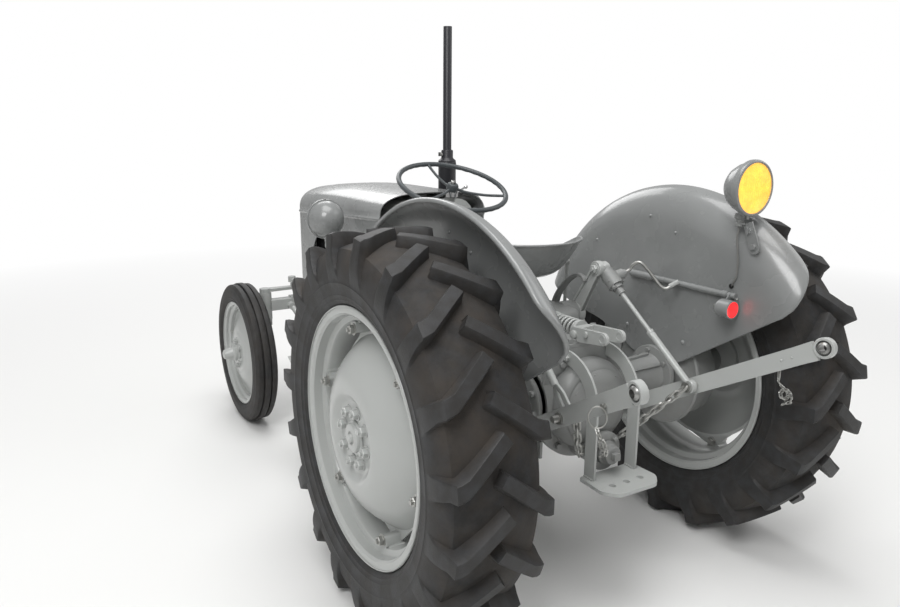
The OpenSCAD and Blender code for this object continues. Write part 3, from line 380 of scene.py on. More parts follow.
@dataclass(frozen=True)
class Glow(Finish):
    """Lit lens: a coloured glass that shines by itself."""

    light: Triple = (1.0, 0.6, 0.1)
    strength: float = 1.0
    ribs: float = 0.0

    def dress(self, graph: Graph) -> None:
        """Adds the glow, brighter in patches as a ribbed lens is.

        Args:
            graph: the material's node tree.
        """
        patches = graph.span(graph.noise(self.ribs or 30.0, 2.0), 0.35, 0.65, 0.72, 1.0)
        graph.link(graph.times(patches, self.strength), graph.shader.inputs["Emission Strength"])
        graph.set(Base_Color=(*self.colour, 1.0), Emission_Color=(*self.light, 1.0))
        graph.set(Coat_Weight=0.5, Coat_Roughness=0.05)


GREY = (0.245, 0.252, 0.250)
PAINT = Paint("grey_paint", GREY, 0.30)
SHEET_PAINT = Paint("grey_sheet_paint", GREY, 0.24, dust_share=0.16, peel=0.0)
CAST = Cast("grey_cast_paint", (0.262, 0.268, 0.262), 0.42)
RUBBER = Rubber("tyre_rubber", (0.017, 0.0165, 0.016), 0.70)
BLACK = Paint("black_heat_paint", (0.010, 0.010, 0.012), 0.34, dust_share=0.05)
ZINC = Finish("zinc_plate", (0.44, 0.44, 0.42), 0.36, 0.85)
STEEL = Finish("bare_steel", (0.33, 0.33, 0.32), 0.32, 0.9)
CHROME = Finish("chrome", (0.78, 0.78, 0.78), 0.08, 1.0)
# Dark colour of the discs that fill the seat's drain holes: painted shade in place of the openings.
HOLE_SHADE = Finish("oiled_iron", (0.045, 0.042, 0.040), 0.38, 0.5)
DARK_GRIP = Finish("steering_rim", (0.040, 0.043, 0.047), 0.36)
CORE = Finish("radiator_core", (0.016, 0.016, 0.017), 0.55, 0.3)
CABLE = Finish("cable_black", (0.012, 0.012, 0.012), 0.5)
CABLE_GREY = Finish("cable_grey", (0.20, 0.20, 0.19), 0.5)
AMBER = Glow("amber_lens", (0.85, 0.45, 0.05), 0.12, light=(1.0, 0.50, 0.075), strength=1.15, ribs=45.0)
RED_GLASS = Glow("red_lens", (0.75, 0.02, 0.02), 0.12, light=(1.0, 0.025, 0.03), strength=1.3, ribs=70.0)
CLEAR_GLASS = Finish("clear_lens", (0.55, 0.58, 0.60), 0.06, 0.35)


# FORMS


def circle(count: int, start: float = 0.0) -> Array:
    """Returns count unit vectors round a circle, as rows of cosine and sine."""
    angle = start + np.arange(count) * 2 * math.pi / count
    return np.stack([np.cos(angle), np.sin(angle)], axis=1)


def arc(centre: Point, radius: float, first: float, last: float, count: int) -> Array:
    """Gives count + 1 points of an arc, evenly spaced from the first angle to the last, in degrees."""
    angle = np.radians(np.linspace(first, last, count + 1))
    return np.array(centre) + radius * np.stack([np.cos(angle), np.sin(angle)], axis=1)


def oblong(x: float, y: float) -> Array:
    """Corners of a rectangle about the origin, with x and y as half its sides."""
    return np.array([(-x, -y), (x, -y), (x, y), (-x, y)], float)


def beside(at: Point, *points: Point) -> Array:
    """Points that are given by how far they lie from a place."""
    return np.array(points, float) + np.array(at, float)


def ease(u: Array | float) -> Array | float:
    """Smooth step from 0 to 1: 3 u^2 - 2 u^3, clamped."""
    u = np.clip(u, 0.0, 1.0)
    return u * u * (3 - 2 * u)


def rounded(points: Sequence[Point], radius: float, steps: int = 4) -> Array:
    """Rounds the corners of a closed outline: each corner becomes a quadratic curve between two cut points.

    Args:
        points: corners in order.
        radius: distance from a corner to the points where its curve starts and ends.
        steps: steps along each curve.

    Returns:
        The rounded outline.
    """
    corners = np.array(points, float)
    before, after = np.roll(corners, 1, axis=0) - corners, np.roll(corners, -1, axis=0) - corners
    cut = []
    for arm in (before, after):
        length = np.linalg.norm(arm, axis=1, keepdims=True)
        cut.append(corners + arm / length * np.minimum(radius, 0.49 * length))
    u = np.linspace(0, 1, steps + 1)[None, :, None]
    curve = (1 - u) ** 2 * cut[0][:, None] + 2 * u * (1 - u) * corners[:, None] + u ** 2 * cut[1][:, None]
    return curve.reshape(-1, 2)


def wall(path: Array, thickness: float) -> Array:
    """Closes an open outline into a wall: the path, then the path moved by the thickness to its left.

    Args:
        path: rows of two numbers.
        thickness: the wall's thickness; a negative one puts the wall on the path's right.

    Returns:
        The closed outline.
    """
    step = np.diff(path, axis=0)
    step /= np.linalg.norm(step, axis=1, keepdims=True)
    left = np.stack([-step[:, 1], step[:, 0]], axis=1)
    at = np.vstack([left[:1], left[:-1] + left[1:], left[-1:]])
    at /= np.maximum(np.linalg.norm(at, axis=1, keepdims=True), TINY)
    reach = 1 / np.maximum(np.sum(at * np.vstack([left[:1], left]), axis=1, keepdims=True), 0.3)
    return np.vstack([path, (path + thickness * reach * at)[::-1]])


def grid_faces(rows: int, cols: int, wrap_rows: bool, wrap_cols: bool) -> Array:
    """Four-sided faces of a grid of points, numbered row by row.

    Args:
        rows: number of rows.
        cols: number of columns.
        wrap_rows: whether the last row joins the first.
        wrap_cols: whether the last column joins the first.

    Returns:
        One row of four indices for each face.
    """
    i = np.arange(rows if wrap_rows else rows - 1)[:, None]
    j = np.arange(cols if wrap_cols else cols - 1)[None, :]
    i1, j1 = (i + 1) % rows, (j + 1) % cols
    corners = (i * cols + j, i * cols + j1, i1 * cols + j1, i1 * cols + j)
    return np.stack(np.broadcast_arrays(*corners), axis=-1).reshape(-1, 4)


def normals(points: Array, wrap_cols: bool) -> Array:
    """Unit normals of a grid: the cross product of its differences along rows and along columns.

    Args:
        points: grid of points, rows by columns by three.
        wrap_cols: whether the last column joins the first.

    Returns:
        A normal for each point.
    """
    along = np.gradient(points, axis=0)
    across = (np.roll(points, -1, 1) - np.roll(points, 1, 1)) / 2 if wrap_cols else np.gradient(points, axis=1)
    found = np.cross(along, across)
    return found / np.maximum(np.linalg.norm(found, axis=2, keepdims=True), TINY)


class Form:
    """Closed surfaces that are gathered into one mesh, each face with a finish."""

    def __init__(self, finish: Finish = PAINT) -> None:
        """Starts an empty form.

        Args:
            finish: the finish of faces that name none.
        """
        self.finish = finish
        self.points: list[Array] = []
        self.faces: list[tuple[Array, Finish]] = []
        self.count = 0

    def add(self, points: Array, faces: Iterable[Array], finish: Finish | None = None) -> Form:
        """Adds a closed surface, and turns its faces outwards by the sign of its volume.

        Args:
            points: rows of three coordinates.
            faces: arrays of faces, each array with one number of corners.
            finish: the faces' finish.

        Returns:
            This form.
        """
        points = np.asarray(points, float).reshape(-1, 3)
        faces = [np.asarray(f, int) for f in faces]
        centre = points.mean(axis=0)
        volume = 0.0
        for group in faces:
            p = points[group] - centre
            for k in range(1, group.shape[1] - 1):
                volume += np.sum(p[:, 0] * np.cross(p[:, k], p[:, k + 1]))
        for group in faces:
            self.faces.append(((group[:, ::-1] if volume < 0 else group) + self.count, finish or self.finish))
        self.points.append(points)
        self.count += len(points)
        return self

    def grid(self, points: Array, wrap_rows: bool = False, wrap_cols: bool = True,
             finish: Finish | None = None) -> Form:
        """Adds a grid of points. Where its rows don't wrap, an end row that is one point becomes a pole, and a
        flat face closes any other end.

        Args:
            points: rows by columns by three.
            wrap_rows: whether the last row joins the first.
            wrap_cols: whether the last column joins the first.
            finish: the finish.

        Returns:
            This form.
        """
        rows, cols = points.shape[:2]
        index = np.arange(rows * cols).reshape(rows, cols)
        if wrap_rows or not wrap_cols:
            return self.add(points, [grid_faces(rows, cols, wrap_rows, wrap_cols)], finish)
        start, end = (np.ptp(points[k], axis=0).max() < POLE for k in (0, -1))
        quads = grid_faces(rows, cols, False, True).reshape(rows - 1, cols, 4)
        faces = [quads[int(start):rows - 1 - int(end)].reshape(-1, 4)]
        pole = np.full(cols, index[0, 0])
        faces.append(np.stack([pole, np.roll(index[1], -1), index[1]], axis=1) if start else index[None, 0, ::-1])
        pole = np.full(cols, index[-1, 0])
        faces.append(np.stack([index[-2], np.roll(index[-2], -1), pole], axis=1) if end else index[None, -1])
        used = np.unique(np.concatenate([f.ravel() for f in faces]))
        return self.add(points.reshape(-1, 3)[used], [np.searchsorted(used, f) for f in faces], finish)

    def sheet(self, points: Array, thickness: float, wrap_cols: bool = False) -> Form:
        """Adds a sheet of even thickness: the grid, the same grid moved along its normals, and the edges.

        Args:
            points: rows by columns by three.
            thickness: how far the second face lies along the normals.
            wrap_cols: whether the last column joins the first.

        Returns:
            This form.
        """
        rows, cols = points.shape[:2]
        both = np.concatenate([points, (points + thickness * normals(points, wrap_cols))[::-1]], axis=0)
        if wrap_cols:
            return self.grid(both, True)
        faces = [grid_faces(2 * rows, cols, True, False)]
        i = np.arange(rows - 1)
        for j in (0, cols - 1):
            edge = np.stack([i * cols + j, (i + 1) * cols + j, (2 * rows - 2 - i) * cols + j,
                             (2 * rows - 1 - i) * cols + j], axis=1)
            faces.append(edge[:, ::-1] if j else edge)
        return self.add(both, faces)

    def turned(self, profile: Sequence[Point], at: Point = (0, 0, 0), axis: Axis = Axis.X, count: int = 48,
               ring: bool = False, finish: Finish | None = None) -> Form:
        """Revolves a profile: each point goes round the axis at its radius.

        Args:
            profile: rows of radius and place along the axis.
            at: the centre that the places are measured from.
            axis: the axis.
            count: points round the axis.
            ring: whether the profile is a closed loop that doesn't reach the axis.
            finish: the finish.

        Returns:
            This form.
        """
        line = np.array(profile, float)
        spin = circle(count)
        flat = line[:, None, 0, None] * spin[None]
        along = np.broadcast_to(line[:, 1, None], flat.shape[:2])
        order = {Axis.X: (along, flat[..., 0], flat[..., 1]), Axis.Y: (flat[..., 1], along, flat[..., 0]),
                 Axis.Z: (flat[..., 0], flat[..., 1], along)}[axis]
        return self.grid(np.stack(order, axis=-1) + np.array(at, float), ring, True, finish)

    def swept(self, path: Sequence[Point], section: Array, finish: Finish | None = None,
              up: Point = (0.17, 0.29, 0.94), scale: Array | None = None) -> Form:
        """Carries a closed section along a path: each copy lies square to the path's direction.

        Args:
            path: points of the path.
            section: closed outline, as rows of two numbers.
            finish: the finish.
            up: a direction that the path never takes, which holds the section upright.
            scale: a factor of the section's size for each point of the path.

        Returns:
            This form.
        """
        line = np.array(path, float)
        along = np.gradient(line, axis=0)
        along /= np.linalg.norm(along, axis=1, keepdims=True)
        side = np.cross(along, np.array(up, float))
        side /= np.linalg.norm(side, axis=1, keepdims=True)
        top = np.cross(side, along)
        size = np.ones(len(line)) if scale is None else scale
        points = line[:, None] + size[:, None, None] * (section[None, :, 0, None] * side[:, None]
                                                        + section[None, :, 1, None] * top[:, None])
        return self.grid(points, finish=finish)

    def loop(self, path: Array, section: Array, up: Point) -> Form:
        """Carries a closed section round a closed path that lies in a plane.

        Args:
            path: points of the path, without the first one again.
            section: closed outline, as rows of two numbers: outwards, and along up.
            up: the direction square to the path's plane.

        Returns:
            This form.
        """
        along = np.roll(path, -1, axis=0) - np.roll(path, 1, axis=0)
        along /= np.linalg.norm(along, axis=1, keepdims=True)
        top = np.array(up, float) / np.linalg.norm(up)
        side = np.cross(along, top)
        points = path[:, None] + section[None, :, 0, None] * side[:, None] + section[None, :, 1, None] * top
        return self.grid(points, True)

    def rod(self, path: Sequence[Point], radius: float, finish: Finish | None = None, count: int = 16,
            up: Point = (0.17, 0.29, 0.94)) -> Form:
        """Adds a round rod of count sides along a path; up is a direction that the path never takes."""
        return self.swept(path, radius * circle(count), finish, up)

    def prism(self, outline: Array, low: float, high: float, axis: Axis = Axis.X) -> Form:
        """Adds an outline drawn out along an axis.

        Args:
            outline: rows of two numbers: Y and Z for X, X and Z for Y, X and Y for Z.
            low: where it starts.
            high: where it ends.
            axis: the axis.

        Returns:
            This form.
        """
        flat = np.array(outline, float)
        points = np.empty((2, len(flat), 3))
        others = [k for k in range(3) if k != axis.value]
        points[:, :, others] = flat
        points[0, :, axis.value], points[1, :, axis.value] = low, high
        return self.grid(points)

    def block(self, low: Point, high: Point) -> Form:
        """Adds a block between two corners."""
        flat = [(low[0], low[1]), (high[0], low[1]), (high[0], high[1]), (low[0], high[1])]
        return self.prism(np.array(flat), low[2], high[2], Axis.Z)

    def ball(self, at: Point, radius: float, count: int = 24) -> Form:
        """Adds a ball: a half circle turned about the X axis.

        Args:
            at: its centre.
            radius: its radius.
            count: points round it.

        Returns:
            This form.
        """
        half = arc((0, 0), radius, -90, 90, count // 2)
        half[[0, -1], 0] = 0.0
        return self.turned(half, at, Axis.X, count)

    def bolt(self, at: Point, towards: Point, flat: float, height: float = 0.0, stud: float = 0.0,
             finish: Finish | None = None) -> Form:
        """Adds a hexagon head or nut on a washer, with its corners chamfered.

        Args:
            at: centre of the washer's foot.
            towards: direction that the head points in.
            flat: distance across the flats.
            height: the head's height, or 0 for the usual one.
            stud: how far a stud stands out of the nut.
            finish: the finish.

        Returns:
            This form.
        """
        out = np.array(towards, float) / np.linalg.norm(towards)
        up = np.array((0.31, 0.17, 0.93)) if abs(out[2]) < 0.9 else np.array((0.9, 0.4, 0.1))
        tall = height or 0.66 * flat
        washer, chamfer, shaft = 0.12 * flat, 0.09 * flat, 0.27 * flat
        hexagon = circle(6) * (flat / math.sqrt(3))
        start = np.array(at, float)
        self.swept([start, start + washer * out], 0.72 * flat * circle(20), finish, up)
        ends = np.array([0.0, washer, tall - chamfer, tall])
        self.swept(start + ends[:, None] * out, hexagon, finish, up, np.array([1.0, 1.0, 1.0, 0.88]))
        if stud:
            self.rod([start, start + (tall + stud) * out], shaft, finish, 12, up)
        return self

    def join(self, other: Form, offset: Point = (0, 0, 0)) -> Form:
        """Adds another form, moved by an offset.

        Args:
            other: the other form.
            offset: how far its points move.

        Returns:
            This form.
        """
        for group, finish in other.faces:
            self.faces.append((group + self.count, finish))
        for points in other.points:
            self.points.append(points + np.array(offset, float))
        self.count += other.count
        return self

    def carried(self, turn: Array, at: Point = (0, 0, 0)) -> Form:
        """Returns a copy whose points are turned by a matrix and then moved.

        Args:
            turn: the matrix that a row of coordinates is multiplied by.
            at: how far the points then move.

        Returns:
            The new form.
        """
        made = Form(self.finish)
        made.faces, made.count = list(self.faces), self.count
        made.points = [p @ turn + np.array(at, float) for p in self.points]
        return made

    def spun(self, angle: float) -> Form:
        """Returns the form turned by an angle in degrees about the X axis."""
        return self.carried(np.array(Matrix.Rotation(math.radians(angle), 3, Vector((1, 0, 0)))).T)

    def posed(self, at: Point, along: Point, across: Point) -> Form:
        """Returns the form carried from its own axes to a place in the tractor.

        Args:
            at: where its origin goes.
            along: where its X points.
            across: where its Z points, made square to along.

        Returns:
            The new form.
        """
        x = np.array(along, float) / np.linalg.norm(along)
        z = np.array(across, float) - np.dot(across, x) * x
        z /= np.linalg.norm(z)
        return self.carried(np.stack([x, np.cross(z, x), z]), at)

    def on(self, side: Side) -> Form:
        """Returns this right-hand form, or for the left side its mirror image with faces still outwards.

        Args:
            side: the side.

        Returns:
            The form on that side.
        """
        if side is Side.RIGHT:
            return self
        made = self.carried(np.diag((-1.0, 1.0, 1.0)))
        made.faces = [(group[:, ::-1], finish) for group, finish in self.faces]
        return made

    def both(self) -> Form:
        """Returns this right-hand form together with its mirror image."""
        return Form(self.finish).join(self).join(self.on(Side.LEFT))


class Workshop:
    """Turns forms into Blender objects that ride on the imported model's bodies."""

    def __init__(self) -> None:
        """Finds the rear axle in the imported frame."""
        low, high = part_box("rear_tyre_left")
        self.axle_y = (low.y + high.y) / 2
        self.made = 0

    def place(self, points: Array) -> Array:
        """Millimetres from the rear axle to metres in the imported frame."""
        return points * MM + np.array((0.0, self.axle_y, 0.0))

    def mesh(self, name: str, form: Form, sharp: float) -> bpy.types.Mesh:
        """Writes a form's arrays into a mesh.

        Args:
            name: the mesh's name.
            form: the form.
            sharp: angle in degrees above which an edge stays sharp.

        Returns:
            The mesh, smooth but for its sharp edges.
        """
        points = self.place(np.concatenate(form.points))
        groups = [group for group, _ in form.faces]
        finishes = list(dict.fromkeys(finish for _, finish in form.faces))
        totals = np.concatenate([np.full(len(g), g.shape[1]) for g in groups])
        mesh = bpy.data.meshes.new(name)
        mesh.vertices.add(len(points))
        mesh.vertices.foreach_set("co", points.ravel())
        mesh.loops.add(int(totals.sum()))
        mesh.loops.foreach_set("vertex_index", np.concatenate([g.ravel() for g in groups]))
        mesh.polygons.add(len(totals))
        mesh.polygons.foreach_set("loop_start", np.concatenate([[0], np.cumsum(totals)[:-1]]))
        mesh.polygons.foreach_set("material_index", np.concatenate(
            [np.full(len(g), finishes.index(finish)) for g, finish in form.faces]))
        mesh.update(calc_edges=True)
        mesh.validate()
        for finish in finishes:
            mesh.materials.append(finish.material())
        mesh.shade_smooth()
        mesh.set_sharp_from_angle(angle=math.radians(sharp))
        return mesh

    def piece(self, name: str, form: Form, body: str, replaces: Sequence[str] = (),
              bevel: float = 0.0, sharp: float = 32.0) -> Thing:
        """Makes a piece, puts it on its body and reports it.

        Args:
            name: the piece's name.
            form: its shape.
            body: the body that it rides on.
            replaces: the CAD nodes that it stands for.
            bevel: width in millimetres of the bevel along sharp edges, or 0.
            sharp: angle in degrees above which an edge stays sharp.

        Returns:
            The new object.
        """
        made = self.loose(name, form, sharp)
        if bevel:
            edge = made.modifiers.new("edges", "BEVEL")
            edge.width, edge.segments, edge.limit_method = bevel * MM, 2, "ANGLE"
            edge.angle_limit = math.radians(sharp + 3)
            edge.harden_normals = True
        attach(made, body)
        if replaces:
            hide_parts(*replaces)
        log.info("%s rides on %s: %d faces", name, body, len(made.data.polygons))
        return made

    def loose(self, name: str, form: Form, sharp: float = 32.0) -> Thing:
        """Makes a piece that rides on no body yet; its edges above sharp degrees stay sharp."""
        self.made += 1
        return show(name, self.mesh(name, form, sharp))

    @staticmethod
    def soil(tyre: Thing, dust: Array) -> None:
        """Gives a tyre the attribute from which the rubber's finish reads how much earth lies at each point."""
        tyre.data.attributes.new("dust", "FLOAT", "POINT").data.foreach_set("value", dust.astype(np.float32))

    def bridge(self, name: str, form: Form, bodies: tuple[str, str], ends: Array) -> None:
        """Makes a piece, such as a chain, that hangs between two bodies but rides on none of them.

        Args:
            name: the piece's name.
            form: its shape.
            bodies: the two bodies, which a joint joins.
            ends: the points where it would be held, the first body's first; they are turned into metres but not used.
        """
        start, end = self.place(ends).tolist()
        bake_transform(self.loose(name, form))
        log.info("%s bends between %s and %s", name, *bodies)

    def hang(self, path: Array) -> None:
        """Turns the centreline of a cord that hangs between two places of the tractor into metres, and does nothing
        more with it.

        Args:
            path: its centreline.
        """
        line = self.place(np.array(path, float))


# WHEELS


@dataclass
class RearTyre:
    """Rear tyre: a carcass whose grid lines follow the lugs, so that each lug keeps its sharp edges."""

    radius: float = 590.0
    lug_height: float = 32.0
    shoulder_drop: float = 18.0
    wall_radius: float = 160.0
    half_width: float = 142.0
    bead: Pair = (356.3, 113.0)
    flange_radius: float = 381.0
    lugs: int = 19
    lug_half: float = 22.0
    foot: float = 8.0
    slant: float = 39.0
    nose: float = 14.0
    nose_skew: float = 10.0
    lug_bend: float = 116.0
    leg_end: float = 458.0
    leg_half: float = 38.0
    leg_lean: float = 15.0
    top_edge: float = 141.0
    widest: float = 147.0

    @property
    def wall_middle(self) -> float:
        """Radius at which the carcass is widest."""
        return self.bead[0] + 0.45 * (self.radius - self.bead[0])

    def wall_at(self, radius: Array) -> Array:
        """Half-width of the carcass at a radius: an arc over the sidewall, with three fine rings on it.

        Args:
            radius: the radii.

        Returns:
            The half-width at each radius.
        """
        arch = self.half_width - self.wall_radius
        arch += np.sqrt(self.wall_radius ** 2 - (radius - self.wall_middle) ** 2)
        rings = sum(1.6 * np.exp(-((radius - ring) / 2.2) ** 2) for ring in (397.0, 411.0, 446.0))
        return arch + rings

    def half(self) -> tuple[Array, Array, Array]:
        """Half sections from the bead to the middle of the tread.

        Returns:
            The carcass and the lugs' outer surface, as rows of radius and X, then for each row how far down its leg
            it lies, from 0 on the tread to 1 at the leg's end.
        """
        tread_r = self.radius - self.lug_height
        shoulder_r = tread_r - self.shoulder_drop
        # Radii of the sidewall's rows: each of the three fine rings has a row on its peak and on its two feet.
        wall_r = np.concatenate([[389, 394, 397, 400, 408, 411, 414, 430, 443, 446, 449, 455],
                                 np.linspace(self.leg_end, shoulder_r - 12, 8), [shoulder_r]])
        wall_x = self.wall_at(wall_r)
        bead = np.array([self.bead, (self.flange_radius - 2, self.bead[1] + 1),
                         (self.flange_radius + 2, self.bead[1] + 5)])
        side = np.vstack([bead, np.stack([wall_r, wall_x], axis=1)])
        # X of the tread's rows, from the shoulder to the middle, close together at the lugs' noses.
        tread_x = np.array([118, 112, 104, 87, 69, 52, 36, 26, 18, self.nose, self.nose - 3, 6, 0.0])
        tread = np.stack([tread_r - self.shoulder_drop * (tread_x / wall_x[-1]) ** 2, tread_x], axis=1)
        carcass = np.vstack([side, tread])
        down = np.clip((side[:, 0] - self.leg_end) / (shoulder_r - self.leg_end), 0, 1)
        legs = side + down[:, None] * np.array([14.0, self.top_edge - 2 - wall_x[-1]])
        legs[:, 1] = np.minimum(legs[:, 1], self.widest)
        top_x = np.concatenate([[self.top_edge - 6, self.top_edge - 19], tread_x[2:]])
        top_r = self.radius - 3.0 * (top_x / self.top_edge) ** 2 - 4.0 * np.clip((top_x - 126) / 8, 0, 1)
        lugs = np.vstack([legs, np.stack([top_r, top_x], axis=1)])
        away = np.concatenate([1 - down, np.zeros(len(tread))])
        return carcass, lugs, away

    def columns(self, own: Array, half: Array) -> tuple[Array, Array]:
        """Columns of one lug's cell: its middle, edges and foot, moved round the tyre with the distance from the
        tread's middle. Past the middle they run straight on to the lug's square nose and then turn back.

        Args:
            own: distance of each row and cell from the middle, towards the cell's own side.
            half: half-width of the lugs at each row and cell.

        Returns:
            Moved distance and place round the tread, rows by cells by columns.
        """
        # Minus one and one are the lug's edges; what is added puts a column a little inside or outside of them.
        inside = np.array([-1.0, -1.0, -1.0, -1.0, -1.0, -0.5, 0.0, 0.5, 1.0, 1.0, 1.0, 1.0])
        extra = np.array([0.0, -11.0, -self.foot, -1.4, 1.6, 0.0, 0.0, 0.0, -1.6, 1.4, self.foot, 11.0])
        near = np.clip(1 - np.maximum(np.abs(own + self.nose) - 4, 0) / 24, 0, 1)
        moved = own[..., None] - self.nose_skew * near[..., None] * inside
        back = ease((-moved - self.nose - 8) / 26)
        past = np.minimum(np.abs(moved), self.lug_bend) * (2 * back - 1)
        shift = math.tan(math.radians(self.slant)) * np.where(moved < 0, past, np.minimum(moved, self.lug_bend))
        return moved, shift + half[..., None] * inside + extra

    def form(self, side: Side, phase: float) -> tuple[Form, Array]:
        """Makes the tyre about the origin.

        Its grid runs round the tyre in cells of half a lug pitch, and the cells' lugs stand on the two sides of
        the tread in turn. In each cell a lug lifts the carcass to the lugs' outer surface between its edges.

        Args:
            side: side of the tractor.
            phase: how far the tread is turned, in degrees.

        Returns:
            The form, and for each point how much earth lies there.
        """
        carcass, lugs, away = self.half()
        flip = np.array([1.0, -1.0])
        carcass = np.vstack([carcass, carcass[-2::-1] * flip])
        lugs = np.vstack([lugs, lugs[-2::-1] * flip])
        away = np.concatenate([away, away[-2::-1]])[:, None]
        cells = 2 * self.lugs
        cell = math.pi * self.radius / self.lugs
        number = np.arange(cells)
        hand = np.where(number % 2 == 0, 1.0, -1.0)
        own = carcass[:, 1, None] * hand
        grow = np.where(own > 0, self.leg_half - self.lug_half, -0.55 * self.lug_half)
        moved, column = self.columns(own, self.lug_half + grow * away)
        around = number[None, :, None] * cell + column + (self.leg_lean * away * (own > 0))[..., None]
        before = np.roll(around[..., -1], 1, axis=1) - np.where(number == 0, cells * cell, 0.0)
        around[..., 0] = (before + around[..., 1]) / 2
        # How far each column rises to the lug's top.
        mark = np.array([0.0, 0.0, 0.0, 0.93, 1.0, 1.0, 1.0, 1.0, 1.0, 0.93, 0.0, 0.0])
        start = np.clip((own + self.nose) / 3.0, 0, 1)
        lift = start[..., None] * mark
        section = carcass[:, None, None] + lift[..., None] * (lugs - carcass)[:, None, None]
        across = section[..., 1] + (moved - own[..., None]) * hand[:, None]
        angle = around / self.radius + math.radians(phase)
        points = np.stack([across, section[..., 0] * np.cos(angle), section[..., 0] * np.sin(angle)], axis=-1)
        rows = len(carcass)
        form = Form(RUBBER).grid(points.reshape(rows, -1, 3), True, True)
        tread = 0.25 + 0.75 * ease((carcass[:, 0] - 440) / 120)
        dust = (1 - 0.85 * lift) * tread[:, None, None]
        form.points[0] = form.points[0] * np.array([side.value, 1.0, 1.0])
        if side is Side.LEFT:
            form.faces = [(group[:, ::-1], finish) for group, finish in form.faces]
        return form, dust.reshape(-1)


